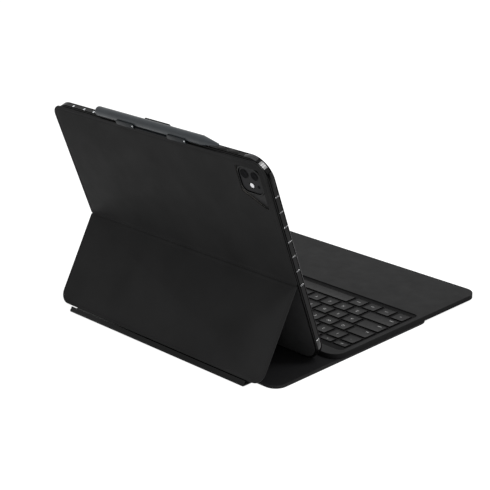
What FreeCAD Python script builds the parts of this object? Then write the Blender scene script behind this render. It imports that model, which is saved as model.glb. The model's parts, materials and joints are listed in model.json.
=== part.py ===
"""Tablet keyboard case: a folding cover with a bumper tray, a kickstand and a sliding keyboard.

Frame: millimetres, +Z up, X along the width, -Y towards the person typing. The origin lies on
the table, on the base's underside, below the foot of the tray. The case stands open for typing:
the base lies flat, the tray leans back on the kickstand leg, and the keyboard is slid forward.
Left and right are those of the person typing, so the left is towards -X.
"""
import FreeCAD, Part, Sketcher
import math
import os
import re

from FreeCAD import Placement, Rotation, Vector

# --------------------------------------------------------------------------- driving sizes
SIZES = [
    # base sheet
    ("base_width", 300.0), ("base_depth", 216.5), ("base_thick", 2.5), ("base_rear", 64.5),
    ("base_corner", 13.0), ("base_skin", 0.7), ("base_rim", 2.0), ("lining_thick", 0.4),
    ("grip_long", 230.0), ("grip_wide", 8.0), ("grip_thick", 0.5), ("grip_inset", 22.0),
    # keyboard slab
    ("slab_width", 300.0), ("slab_depth", 215.5), ("slab_thick", 5.3), ("slab_rear", -13.5),
    ("slab_corner", 14.0), ("slab_wall", 5.0), ("slab_lift", 0.1), ("floor_thick", 0.8),
    ("skin_thick", 0.5), ("deck_top", 1.2), ("well_depth", 0.4), ("well_front", -140.0),
    ("well_rear", -26.5), ("well_width", 290.0), ("well_corner", 5.0),
    ("key_pitch", 17.9), ("key_gap", 2.3), ("key_high", 1.9), ("key_proud", 0.8),
    ("key_clearance", 0.25), ("key_corner", 1.5), ("key_edge", 0.25), ("key_columns", 16.0),
    ("front_row", -125.7), ("top_row_pitch", 14.4), ("top_row_long", 8.6),
    ("dome_thick", 0.6), ("guide_thick", 0.4), ("board_thick", 0.8),
    ("battery_long", 118.0), ("battery_wide", 52.0), ("battery_thick", 2.2), ("battery_x", -50.0),
    ("circuit_long", 70.8), ("circuit_wide", 36.4), ("circuit_x", 70.0),
    ("screw_radius", 0.8), ("screw_head", 1.4), ("screw_long", 2.8), ("head_thick", 0.4),
    ("switch_long", 5.0), ("switch_travel", 2.0), ("switch_high", 1.4), ("switch_deep", 2.0),
    ("port_wide", 9.0), ("port_high", 3.2), ("port_deep", 4.6), ("port_inset", 30.0),
    ("switch_inset", 54.0), ("lamp_radius", 0.7), ("lamp_inset", 8.0),
    # tray: back panel, bumper and what it holds
    ("tilt", 70.6), ("panel_lift", 3.05), ("panel_width", 283.6), ("panel_high", 217.9),
    ("fold_high", 89.3), ("fold_gap", 1.0), ("panel_thick", 1.8), ("panel_corner", 12.0),
    ("cover_skin", 0.6), ("cover_rim", 2.0), ("edge_round", 0.5),
    ("tablet_width", 280.6), ("tablet_high", 214.9), ("tablet_thick", 5.9),
    ("tablet_corner", 18.0), ("tablet_foot", 1.5), ("glass_thick", 0.7), ("glass_border", 1.2),
    ("bumper_wall", 2.5), ("seat_gap", 0.15), ("shell_thick", 1.0), ("lip_high", 0.5),
    ("cushion_thick", 0.7), ("cushion_high", 4.6), ("cushion_trim", 24.0),
    ("camera_x", -120.3), ("camera_v", 196.0), ("camera_size", 24.6), ("camera_corner", 6.5),
    ("camera_high", 1.5), ("camera_gap", 0.4), ("rim_wide", 1.2), ("rim_high", 1.3),
    ("lens_radius", 4.6), ("lens_proud", 0.35), ("lens_spacing", 12.0),
    ("notch_drop", 27.3), ("notch_inner", -106.2), ("notch_outer", -134.4),
    ("notch_top", 210.1), ("notch_slant", 14.0),
    ("pad_long", 11.0), ("power_long", 15.0), ("pad_high", 3.4), ("pad_proud", 0.4),
    ("pad_thick", 2.0), ("pad_gap", 0.15), ("volume_x", -90.0), ("volume_step", 14.0),
    ("power_v", 199.0), ("socket_long", 17.0), ("socket_high", 3.6),
    ("stylus_radius", 4.45), ("stylus_long", 142.0), ("tip_long", 20.0), ("stylus_x", 73.0),
    ("clip_wall", 1.2), ("clip_wide", 24.0), ("clip_front", 34.0), ("clip_middle", -5.1),
    ("clip_spread", 69.0), ("clip_front_x", -5.5), ("stylus_gap", 0.15),
    ("saddle_thick", 0.5), ("stylus_back", 2.4), ("clip_rise", 2.4),
    # hinge between keyboard and tray
    ("hinge_reach", 1.42), ("hinge_level", 5.27), ("pin_radius", 0.5), ("sleeve_radius", 1.1),
    ("sleeve_gap", 0.06), ("hinge_long", 220.0), ("leaf_thick", 0.6), ("leaf_reach", 4.0),
    ("lug_long", 5.0),
    # kickstand leg and spine
    ("leg_long", 94.0), ("leg_corner", 12.0), ("leg_relief", 0.15), ("foot_reach", 79.0), ("spine_pivot", 93.0),
    ("spine_width", 244.0), ("spine_thick", 1.4), ("spine_root", 60.0), ("root_level", 1.3),
    ("spine_gap", 0.7), ("spine_rise", 0.1), ("bead_radius", 0.65),
    ("magnet_long", 30.0), ("magnet_wide", 6.0), ("magnet_inset", 12.0), ("magnet_x", 100.0),
]

doc = FreeCAD.newDocument("TabletKeyboardCase")
sheet = doc.addObject("Spreadsheet::Sheet", "Sizes")
for row, (alias, number) in enumerate(SIZES, start=1):
    sheet.set("A%d" % row, alias.replace("_", " "))
    sheet.set("B%d" % row, str(number))
    sheet.setAlias("B%d" % row, alias)
doc.recompute()

ALIASES = {alias for alias, number in SIZES}


class Reader:
    """Gives a driving size as a plain number: size.base_width."""

    def __getattr__(self, alias):
        return float(sheet.get(alias))


size = Reader()
nodes = []


# --------------------------------------------------------------------------- helpers
def bound(text):
    """Turns 'panel_width - 2 * cover_rim' into an expression on the sheet's cells."""
    def cell(match):
        word = match.group(0)
        return "Sizes." + word if word in ALIASES else word
    return re.sub(r"[a-z_]+", cell, str(text))


def bind(thing, **values):
    for name, text in values.items():
        thing.setExpression(name.replace("__", "."), bound(text))


def keep(thing, name):
    """Names a finished sub-part and puts it on the list of what is written out."""
    thing.Label = name
    nodes.append(thing)
    return thing


def new_body(name, frame=None):
    body = doc.addObject("PartDesign::Body", name)
    if frame is not None:
        body.Placement = frame
    return body


def block(body, length, width, height, x, y, z, cut=False):
    """Adds or removes a box inside a body; every argument is an expression on the sheet."""
    kind = "PartDesign::SubtractiveBox" if cut else "PartDesign::AdditiveBox"
    box = body.newObject(kind, body.Name + "_block")
    plane = [item for item in body.Origin.OriginFeatures if item.Role == "XY_Plane"][0]
    box.AttachmentSupport = [(plane, "")]
    box.MapMode = "FlatFace"
    bind(box, Length=length, Width=width, Height=height,
         AttachmentOffset__Base__x=x, AttachmentOffset__Base__y=y, AttachmentOffset__Base__z=z)
    doc.recompute()
    return box


def centred(body, length, width, height, x, y, z, cut=False):
    """A block whose middle is at x and whose low edge in y is at y."""
    return block(body, length, width, height, "%s - (%s) / 2" % (x, length), y, z, cut)


def round_uprights(body, box, radius, far_only=False):
    """Rounds the upright edges that a block has made, or only the two on its far side in y."""
    base = box.Placement.Base
    far = base.y + box.Width.Value
    rows = [far] if far_only else [base.y, far]
    corners = [(x, y) for x in (base.x, base.x + box.Length.Value) for y in rows]
    names = []
    for index, edge in enumerate(body.Tip.Shape.Edges, start=1):
        first, last = edge.Vertexes[0].Point, edge.Vertexes[-1].Point
        upright = abs(first.x - last.x) < 1e-6 and abs(first.y - last.y) < 1e-6
        at_corner = any(abs(first.x - x) < 1e-4 and abs(first.y - y) < 1e-4 for x, y in corners)
        if upright and at_corner:
            names.append("Edge%d" % index)
    return fillet(body, body.Tip, names, radius)


def fillet(body, feature, names, radius):
    rounded = body.newObject("PartDesign::Fillet", body.Name + "_fillet")
    rounded.Base = (feature, names)
    bind(rounded, Radius=radius)
    doc.recompute()
    return rounded


def round_rim(body, level, radius):
    """Rounds the outer rim of the face at one height of a body."""
    shape = body.Tip.Shape
    box = shape.BoundBox
    inside = 2.0 * max(size.cover_rim, size.base_corner)
    names = []
    for index, edge in enumerate(shape.Edges, start=1):
        extent = edge.BoundBox
        flat = abs(extent.ZMin - level) < 1e-4 and abs(extent.ZMax - level) < 1e-4
        middle = edge.valueAt((edge.FirstParameter + edge.LastParameter) / 2)
        near = (middle.x - box.XMin < 1e-3 or box.XMax - middle.x < 1e-3
                or middle.y - box.YMin < 1e-3 or box.YMax - middle.y < 1e-3)
        arc = edge.Curve.TypeId == "Part::GeomCircle"
        side = (min(middle.x - box.XMin, box.XMax - middle.x) < inside
                and min(middle.y - box.YMin, box.YMax - middle.y) < inside)
        if flat and (near or (arc and side)):
            names.append("Edge%d" % index)
    return fillet(body, body.Tip, names, radius)


def outline_sketch(body, name, points):
    """A closed outline of straight sides on the body's XY plane, its corners tied to the sheet."""
    sketch = body.newObject("Sketcher::SketchObject", name)
    plane = [item for item in body.Origin.OriginFeatures if item.Role == "XY_Plane"][0]
    sketch.AttachmentSupport = [(plane, "")]
    sketch.MapMode = "FlatFace"
    count = len(points)
    places = [(value, other) for value, other, text, words in points]
    for index in range(count):
        start, end = places[index], places[(index + 1) % count]
        sketch.addGeometry(Part.LineSegment(Vector(start[0], start[1], 0),
                                            Vector(end[0], end[1], 0)), False)
    for index in range(count):
        sketch.addConstraint(Sketcher.Constraint("Coincident", index, 2, (index + 1) % count, 1))
    for index, (x, y, x_text, y_text) in enumerate(points):
        for kind, number, text in (("DistanceX", x, x_text), ("DistanceY", y, y_text)):
            place = sketch.addConstraint(Sketcher.Constraint(kind, -1, 1, index, 1, number))
            sketch.setExpression("Constraints[%d]" % place, bound(text))
    doc.recompute()
    return sketch


def box_part(name, length, width, height, x, y, z):
    box = doc.addObject("Part::Box", name)
    bind(box, Length=length, Width=width, Height=height,
         Placement__Base__x=x, Placement__Base__y=y, Placement__Base__z=z)
    return box


def centred_part(name, length, width, height, x, y, z):
    """A Part box whose middle is at (x, y) and whose underside is at z."""
    return box_part(name, length, width, height, "%s - (%s) / 2" % (x, length),
                    "%s - (%s) / 2" % (y, width), z)


def framed_box(name, frame, length, width, height, corner):
    """A box standing in a frame of its own, its low corner at the point given in that frame."""
    box = doc.addObject("Part::Box", name)
    bind(box, Length=length, Width=width, Height=height)
    box.Placement = frame.multiply(Placement(corner, Rotation()))
    return box


def rod(name, radius, length, place):
    """A cylinder along the place's own Z."""
    cylinder = doc.addObject("Part::Cylinder", name)
    bind(cylinder, Radius=radius, Height=length)
    cylinder.Placement = place
    return cylinder


def cut(name, base, tool):
    result = doc.addObject("Part::Cut", name)
    result.Base = base
    result.Tool = tool
    return result


def fuse(name, parts):
    result = doc.addObject("Part::MultiFuse", name)
    result.Shapes = parts
    return result


def group(name, parts):
    result = doc.addObject("Part::Compound", name)
    result.Links = parts
    return result


def along_x(x, y, z):
    """Puts a cylinder's axis along X, starting at the point given."""
    return Placement(Vector(x, y, z), Rotation(Vector(0, 1, 0), 90))


# --------------------------------------------------------------------------- frames
# The tray's frame: x across, y up the back panel, z from the outer skin towards the screen.
tray_frame = Placement(Vector(0, 0, size.panel_lift), Rotation(Vector(1, 0, 0), size.tilt))

# The fold line, and the leg's frame: y down the leg, z outwards, z = 0 in the middle of it.
# The leg stands a little way out from the fold line, so that it folds flat without rubbing.
fold_point = tray_frame.multVec(Vector(0, size.fold_high, size.panel_thick / 2))
reach = size.foot_reach - fold_point.y
span = math.hypot(reach, fold_point.z)
leg_angle = math.degrees(math.atan2(fold_point.z, reach) + math.asin(size.panel_thick / 2 / span))
leg_frame = Placement(fold_point, Rotation(Vector(1, 0, 0), -leg_angle)).multiply(
    Placement(Vector(0, 0, size.leg_relief), Rotation()))
pivot_point = leg_frame.multVec(Vector(0, size.spine_pivot, 0))
root_point = Vector(0, size.spine_root, size.root_level)

# The hinge pin between the keyboard and the tray, in the row frame and in the tray's frame.
pin_point = Vector(0, size.slab_rear + size.hinge_reach, size.hinge_level)
pin_in_tray = tray_frame.inverse().multVec(pin_point)

SLAB_FLOOR = "base_thick + slab_lift"
DECK_FOOT = SLAB_FLOOR + " + floor_thick"
SLAB_TOP = SLAB_FLOOR + " + slab_thick"
SKIN_FOOT = SLAB_TOP + " - skin_thick"
WELL_FLOOR = SKIN_FOOT + " - well_depth"
DECK_CEILING = SKIN_FOOT + " - deck_top"
SLAB_FRONT = "slab_rear - slab_depth"
BASE_FRONT = "base_rear - base_depth"
MAGNET_X = ("-magnet_x", "0", "magnet_x")


# --------------------------------------------------------------------------- base sheet
def base_sheet():
    cover = new_body("base_cover")
    plate = centred(cover, "base_width", "base_depth", "base_thick", "0", BASE_FRONT, "0")
    pocket = centred(cover, "base_width - 2 * base_rim", "base_depth - 2 * base_rim",
                     "base_thick", "0", BASE_FRONT + " + base_rim", "base_skin", cut=True)
    round_uprights(cover, pocket, "base_corner - base_rim")
    round_uprights(cover, plate, "base_corner")
    round_rim(cover, 0.0, "edge_round")
    centred(cover, "spine_width + 4", "base_rear - spine_root + 1", "base_thick * 2", "0",
            "spine_root - spine_gap", "-0.5", cut=True)
    for inset in ("grip_inset", "base_depth - grip_inset - grip_wide"):
        centred(cover, "grip_long", "grip_wide", "grip_thick", "0", BASE_FRONT + " + " + inset,
                "0", cut=True)
    keep(cover, "base_cover")

    for name, thick, level in (
            ("base_board", "base_thick - base_skin - lining_thick", "base_skin"),
            ("base_lining", "lining_thick", "base_thick - lining_thick")):
        sheet_body = new_body(name)
        plate = centred(sheet_body, "base_width - 2 * base_rim", "base_depth - 2 * base_rim",
                        thick, "0", BASE_FRONT + " + base_rim", level)
        round_uprights(sheet_body, plate, "base_corner - base_rim")
        centred(sheet_body, "spine_width + 4", "base_rear", "base_thick * 2", "0",
                "spine_root - spine_gap", "-0.5", cut=True)
        if name == "base_board":
            for x in MAGNET_X:
                centred(sheet_body, "magnet_long", "magnet_wide", "base_thick", x,
                        "slab_rear - magnet_inset", "base_skin", cut=True)
        keep(sheet_body, name)

    magnets = [centred_part("base_magnet", "magnet_long", "magnet_wide",
                            "base_thick - base_skin - lining_thick", x,
                            "slab_rear - magnet_inset + magnet_wide / 2", "base_skin")
               for x in MAGNET_X]
    keep(group("base_magnets", magnets), "base_magnets")

    grips = [centred_part("grip", "grip_long", "grip_wide", "grip_thick", "0",
                          BASE_FRONT + " + %s + grip_wide / 2" % inset, "0")
             for inset in ("grip_inset", "base_depth - grip_inset - grip_wide")]
    keep(group("grip_strips", grips), "grip_strips")


# --------------------------------------------------------------------------- keyboard
# Each row: its distance from the front row in key pitches, and its keys from left to right as
# (node, width in pitches). Keys with the same node move as one group.
KEY_ROWS = [
    (0, [("globe_key", 1), ("control_key", 1), ("option_key", 1), ("command_key", 1),
         ("space_bar", 6), ("right_command_keys", 1), ("right_command_keys", 1),
         ("right_command_keys", 1), ("arrow_keys", 1), ("arrow_keys", 1), ("arrow_keys", 1)]),
    (1, [("left_shift_key", 2.25)] + [("lower_letter_keys", 1)] * 10
     + [("right_shift_key", 1.75), ("arrow_keys", 1), ("page_keys", 1)]),
    (2, [("caps_key", 1.75)] + [("home_letter_keys", 1)] * 11
     + [("enter_key", 2.25), ("page_keys", 1)]),
    (3, [("tab_key", 1.5)] + [("upper_letter_keys", 1)] * 13
     + [("page_keys", 1.5)]),
    (4, [("number_keys", 1)] * 13 + [("backspace_key", 2), ("page_keys", 1)]),
    (5, [("escape_key", 1)] + [("function_keys", 1)] * 15),
]


def key_places():
    """Gives (node, x of the middle, y of the middle, length, depth) as expressions."""
    for row, keys in KEY_ROWS:
        left = 0.0
        for node, units in keys:
            x = "(%g - key_columns / 2) * key_pitch" % (left + units / 2)
            y = "front_row + %d * key_pitch" % row
            depth = "key_pitch - key_gap"
            if row == 5:
                y = "front_row + 4 * key_pitch + top_row_pitch"
                depth = "top_row_long"
            yield node, x, y, "%g * key_pitch - key_gap" % units, depth
            left += units


def keycap(x, y, length, depth):
    blank = centred_part("key_blank", length, depth, "key_high", x, y,
                         WELL_FLOOR + " + key_proud - key_high")
    doc.recompute([blank])
    edges = []
    top = blank.Shape.BoundBox.ZMax
    for index, edge in enumerate(blank.Shape.Edges, start=1):
        extent = edge.BoundBox
        if extent.ZLength > size.key_high / 2:
            edges.append((index, size.key_corner, size.key_corner))
        elif abs(extent.ZMin - top) < 1e-4:
            edges.append((index, size.key_edge, size.key_edge))
    cap = doc.addObject("Part::Fillet", "keycap")
    cap.Base = blank
    cap.Edges = edges
    return cap


def keys_and_openings():
    caps = {}
    openings = []
    for node, x, y, length, depth in key_places():
        caps.setdefault(node, []).append(keycap(x, y, length, depth))
        openings.append(centred_part("key_opening", length + " + 2 * key_clearance",
                                     depth + " + 2 * key_clearance", "slab_thick", x, y,
                                     DECK_FOOT))
    for node, parts in caps.items():
        keep(parts[0] if len(parts) == 1 else group(node, parts), node)
    return openings


def screw_shape(name, x, y):
    foot = size.base_thick + size.slab_lift
    head = rod(name + "_head", "screw_head", "head_thick", Placement(Vector(x, y, foot),
                                                                      Rotation()))
    shank = rod(name + "_shank", "screw_radius", "screw_long", Placement(Vector(x, y, foot),
                                                                          Rotation()))
    return fuse(name, [head, shank])


def screw_spots():
    """Eight screws in the deck's wall: three along the rear and the front, one on each side."""
    side = size.slab_width / 2 - size.slab_wall / 2
    rear = size.slab_rear - size.slab_wall / 2
    front = size.slab_rear - size.slab_depth + size.slab_wall / 2
    middle = (rear + front) / 2
    edge = size.slab_width / 2 - 2 * size.slab_corner
    return [(x, y) for y in (rear, front) for x in (-edge, 0.0, edge)] \
        + [(-side, middle), (side, middle)]


def keyboard_slab():
    screws = [screw_shape("screw_%d" % number, x, y)
              for number, (x, y) in enumerate(screw_spots(), start=1)]
    screw_group = keep(group("keyboard_screws", screws), "keyboard_screws")

    floor = new_body("floor_blank")
    plate = centred(floor, "slab_width", "slab_depth", "floor_thick", "0", SLAB_FRONT, SLAB_FLOOR)
    round_uprights(floor, plate, "slab_corner")
    round_rim(floor, size.base_thick + size.slab_lift, "edge_round")
    keep(cut("keyboard_floor", floor, screw_group), "keyboard_floor")

    deck = new_body("deck_blank")
    plate = centred(deck, "slab_width", "slab_depth", "slab_thick - floor_thick - skin_thick",
                    "0", SLAB_FRONT, DECK_FOOT)
    round_uprights(deck, plate, "slab_corner")
    cavity = centred(deck, "slab_width - 2 * slab_wall", "slab_depth - 2 * slab_wall",
                     "slab_thick - floor_thick - skin_thick - deck_top", "0",
                     SLAB_FRONT + " + slab_wall", DECK_FOOT, cut=True)
    round_uprights(deck, cavity, "slab_corner - slab_wall")
    well = centred(deck, "well_width", "well_rear - well_front", "slab_thick", "0",
                   "well_front", WELL_FLOOR, cut=True)
    round_uprights(deck, well, "well_corner")
    port_y = "slab_rear - port_inset"
    block(deck, "slab_wall * 2", "port_wide", "port_high", "slab_width / 2 - slab_wall - 1",
          port_y, DECK_FOOT, cut=True)
    block(deck, "slab_wall * 2", "switch_long + switch_travel + 0.4", "switch_high + 0.3",
          "slab_width / 2 - slab_wall - 1", "slab_rear - switch_inset", DECK_FOOT + " + 0.9",
          cut=True)
    drilled = cut("drilled_deck", deck, screw_group)
    keep(cut("keyboard_deck", drilled, group("key_openings", keys_and_openings())),
         "keyboard_deck")

    skin = new_body("palm_rest_skin")
    plate = centred(skin, "slab_width", "slab_depth", "skin_thick", "0", SLAB_FRONT, SKIN_FOOT)
    window = centred(skin, "well_width", "well_rear - well_front", "slab_thick", "0",
                     "well_front", SKIN_FOOT, cut=True)
    round_uprights(skin, window, "well_corner")
    round_uprights(skin, plate, "slab_corner")
    round_rim(skin, size.base_thick + size.slab_lift + size.slab_thick, "edge_round * 0.8")
    lamp = rod("lamp_opening", "lamp_radius", "slab_thick", Placement(
        Vector(size.well_width / 2 - size.lamp_inset, (size.well_rear + size.slab_rear) / 2,
               size.base_thick + size.skin_thick), Rotation()))
    keep(cut("keyboard_skin", skin, lamp), "keyboard_skin")
    keep(rod("status_lamp", "lamp_radius", "skin_thick", Placement(
        Vector(size.well_width / 2 - size.lamp_inset, (size.well_rear + size.slab_rear) / 2,
               size.base_thick + size.slab_lift + size.slab_thick - size.skin_thick),
        Rotation())), "status_lamp")

    inner_width = "slab_width - 2 * slab_wall - 1"
    well_middle = "(well_front + well_rear) / 2"
    keep(centred_part("light_guide", inner_width, "well_rear - well_front - 2", "guide_thick",
                      "0", well_middle, DECK_FOOT), "light_guide")
    keep(centred_part("dome_sheet", inner_width, "well_rear - well_front - 2", "dome_thick",
                      "0", well_middle, DECK_FOOT + " + guide_thick"), "dome_sheet")
    keep(centred_part("battery", "battery_long", "battery_wide", "battery_thick", "battery_x",
                      "(well_front + slab_rear - slab_depth) / 2", DECK_FOOT), "battery")
    keep(centred_part("circuit_board", "circuit_long", "circuit_wide", "board_thick",
                      "circuit_x", "(well_front + slab_rear - slab_depth) / 2", DECK_FOOT),
         "circuit_board")

    shell = block_shell("slab_width / 2 - port_deep", port_y)
    keep(shell, "charging_port")
    keep(box_part("power_slider", "switch_deep", "switch_long", "switch_high",
                  "slab_width / 2 - switch_deep + 0.4", "slab_rear - switch_inset + 0.2",
                  DECK_FOOT + " + 1.05"), "power_slider")

    pin = rod("pin_rod", "pin_radius", "hinge_long",
              along_x(-size.hinge_long / 2, pin_point.y, pin_point.z))
    lugs = [box_part("pin_lug", "lug_long", "hinge_reach + pin_radius", "2 * pin_radius + 0.8",
                     x, "slab_rear", "hinge_level - pin_radius - 0.4")
            for x in ("-hinge_long / 2 - lug_long / 2", "hinge_long / 2 - lug_long / 2")]
    keep(fuse("hinge_pin", [pin] + lugs), "hinge_pin")


def block_shell(x, y):
    """The charging port: a flattened metal shell with its mouth on the keyboard's right side."""
    outer = box_part("port_outer", "port_deep", "port_wide - 0.2", "port_high - 0.4", x,
                     "%s + 0.1" % y, DECK_FOOT + " + 0.1")
    mouth = box_part("port_mouth", "port_deep", "port_wide - 0.8", "port_high - 1.0",
                     "%s + 0.6" % x, "%s + 0.4" % y, DECK_FOOT + " + 0.4")
    return cut("charging_port_shell", outer, mouth)


# --------------------------------------------------------------------------- tray
PANEL_FOOT = "fold_high + fold_gap"
SHELL_BACK = "panel_thick"
SHELL_FRONT = "panel_thick + shell_thick"
SEAT = SHELL_FRONT + " + 0.1"
LIP = SEAT + " + tablet_thick + lip_high"
RING_FOOT = "tablet_foot - bumper_wall"
RING_HIGH = "tablet_high + 2 * bumper_wall"
RING_WIDE = "tablet_width + 2 * bumper_wall"


def notch_points(grow):
    """The camera cut-out: a window whose lower edge runs down at a slant to the outer side."""
    inner, outer = size.notch_inner + grow, size.notch_outer - grow
    top, low = size.notch_top + grow, size.notch_top - size.notch_drop - grow
    step = size.notch_slant
    return [(inner, top, "notch_inner + %g" % grow, "notch_top + %g" % grow),
            (outer, top, "notch_outer - %g" % grow, "notch_top + %g" % grow),
            (outer, low - step, "notch_outer - %g" % grow,
             "notch_top - notch_drop - %g - notch_slant" % grow),
            (outer + 2.5, low - step, "notch_outer - %g + 2.5" % grow,
             "notch_top - notch_drop - %g - notch_slant" % grow),
            (inner - 3.0, low, "notch_inner + %g - 3" % grow,
             "notch_top - notch_drop - %g" % grow),
            (inner, low + 3.0, "notch_inner + %g" % grow,
             "notch_top - notch_drop - %g + 3" % grow)]


def cut_notch(body, grow):
    sketch = outline_sketch(body, body.Name + "_notch", notch_points(grow))
    pocket = body.newObject("PartDesign::Pocket", body.Name + "_notch_cut")
    pocket.Profile = sketch
    pocket.Type = "ThroughAll"
    pocket.Midplane = True
    doc.recompute()
    return pocket


def cut_square_window(body, grow, level, deep):
    window = centred(body, "camera_size + 2 * (%s)" % grow, "camera_size + 2 * (%s)" % grow,
                     deep, "camera_x", "camera_v - camera_size / 2 - (%s)" % grow, level,
                     cut=True)
    return round_uprights(body, window, "camera_corner + (%s)" % grow)


def back_panel():
    cover = new_body("back_panel_cover", tray_frame)
    plate = centred(cover, "panel_width", "panel_high - fold_high - fold_gap", "panel_thick",
                    "0", PANEL_FOOT, "0")
    pocket = centred(cover, "panel_width - 2 * cover_rim",
                     "panel_high - fold_high - fold_gap - 2 * cover_rim", "panel_thick", "0",
                     PANEL_FOOT + " + cover_rim", "cover_skin", cut=True)
    round_uprights(cover, pocket, "panel_corner - cover_rim", far_only=True)
    round_uprights(cover, plate, "panel_corner", far_only=True)
    round_rim(cover, 0.0, "edge_round")
    cut_notch(cover, 0.0)
    keep(cover, "back_panel_cover")

    board = new_body("back_panel_board", tray_frame)
    plate = centred(board, "panel_width - 2 * cover_rim",
                    "panel_high - fold_high - fold_gap - 2 * cover_rim",
                    "panel_thick - cover_skin", "0", PANEL_FOOT + " + cover_rim", "cover_skin")
    round_uprights(board, plate, "panel_corner - cover_rim", far_only=True)
    cut_notch(board, 0.8)
    keep(board, "back_panel_board")

    bead_place = tray_frame.multiply(along_x(-size.panel_width / 2 + size.panel_corner,
                                             size.fold_high, size.panel_thick / 2))
    keep(rod("fold_bead", "bead_radius", "panel_width - 2 * panel_corner", bead_place),
         "fold_bead")


def bumper():
    shell = new_body("bumper_back", tray_frame)
    plate = centred(shell, "tablet_width + 2 * seat_gap", "tablet_high + 2 * seat_gap",
                    "shell_thick", "0", "tablet_foot - seat_gap", SHELL_BACK)
    round_uprights(shell, plate, "tablet_corner + seat_gap")
    cut_square_window(shell, "camera_gap", SHELL_BACK, "shell_thick")
    keep(shell, "bumper_back")

    ring = new_body("bumper_frame", tray_frame)
    plate = centred(ring, RING_WIDE, RING_HIGH, LIP + " - panel_thick", "0", RING_FOOT,
                    SHELL_BACK)
    hole = centred(ring, "tablet_width + 2 * seat_gap", "tablet_high + 2 * seat_gap",
                   "tablet_thick * 3", "0", "tablet_foot - seat_gap", SHELL_BACK, cut=True)
    round_uprights(ring, hole, "tablet_corner + seat_gap")
    round_uprights(ring, plate, "tablet_corner + bumper_wall")
    front = size.panel_thick + size.shell_thick + 0.1 + size.tablet_thick + size.lip_high
    round_rim(ring, front, "edge_round")
    round_rim(ring, size.panel_thick, "edge_round")
    pad_level = SEAT + " + (tablet_thick - pad_high) / 2 - pad_gap"
    for x in ("volume_x", "volume_x - volume_step"):
        centred(ring, "pad_long + 2 * pad_gap", "bumper_wall * 2", "pad_high + 2 * pad_gap", x,
                "tablet_foot + tablet_high - 0.5", pad_level, cut=True)
    block(ring, "bumper_wall * 2", "power_long + 2 * pad_gap", "pad_high + 2 * pad_gap",
          "-tablet_width / 2 - 2 * bumper_wall + 0.5", "power_v - power_long / 2 - pad_gap",
          pad_level, cut=True)
    block(ring, "bumper_wall * 2", "socket_long", "socket_high",
          "tablet_width / 2 - 0.5",
          "tablet_foot + tablet_high / 2 - socket_long / 2",
          SEAT + " + (tablet_thick - socket_high) / 2", cut=True)
    keep(ring, "bumper_frame")

    for name, x in (("volume_up_pad", "volume_x"),
                    ("volume_down_pad", "volume_x - volume_step")):
        pad = new_body(name, tray_frame)
        plate = centred(pad, "pad_long", "pad_thick", "pad_high", x,
                        "tablet_foot + tablet_high + bumper_wall + pad_proud - pad_thick",
                        SEAT + " + (tablet_thick - pad_high) / 2")
        keep(pad, name)
    power = new_body("power_pad", tray_frame)
    block(power, "pad_thick", "power_long", "pad_high",
          "-tablet_width / 2 - bumper_wall - pad_proud", "power_v - power_long / 2",
          SEAT + " + (tablet_thick - pad_high) / 2")
    keep(power, "power_pad")

    rim = new_body("camera_rim", tray_frame)
    plate = centred(rim, "camera_size + 2 * (camera_gap + rim_wide)",
                    "camera_size + 2 * (camera_gap + rim_wide)", "rim_high", "camera_x",
                    "camera_v - camera_size / 2 - camera_gap - rim_wide",
                    "panel_thick - rim_high")
    cut_square_window(rim, "camera_gap", "0", "panel_thick * 2")
    round_uprights(rim, plate, "camera_corner + camera_gap + rim_wide")
    keep(rim, "camera_rim")

    cushions = []
    for x_sign, top in ((1, 1), (-1, 1), (-1, 0), (1, 0)):
        cushions.append(cushion(x_sign, top))
    keep(group("corner_cushions", cushions), "corner_cushions")


def cushion(x_sign, top):
    """A quarter ring of air cushion round one corner of the bumper."""
    corner = size.tablet_corner
    x = x_sign * (size.tablet_width / 2 - corner)
    y = size.tablet_foot + (size.tablet_high - corner if top else corner)
    turn = {(1, 1): 0, (-1, 1): 90, (-1, 0): 180, (1, 0): 270}[(x_sign, top)]
    level = size.panel_thick + (size.tablet_thick + size.shell_thick + size.lip_high
                                - size.cushion_high) / 2
    place = tray_frame.multiply(Placement(Vector(x, y, level),
                                          Rotation(Vector(0, 0, 1),
                                                   turn + size.cushion_trim)))
    outer = rod("cushion_outer", "tablet_corner + bumper_wall + cushion_thick", "cushion_high",
                place)
    bind(outer, Angle="90 - 2 * cushion_trim")
    inner = rod("cushion_inner", "tablet_corner + bumper_wall", "cushion_high", place)
    return cut("cushion", outer, inner)


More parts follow.
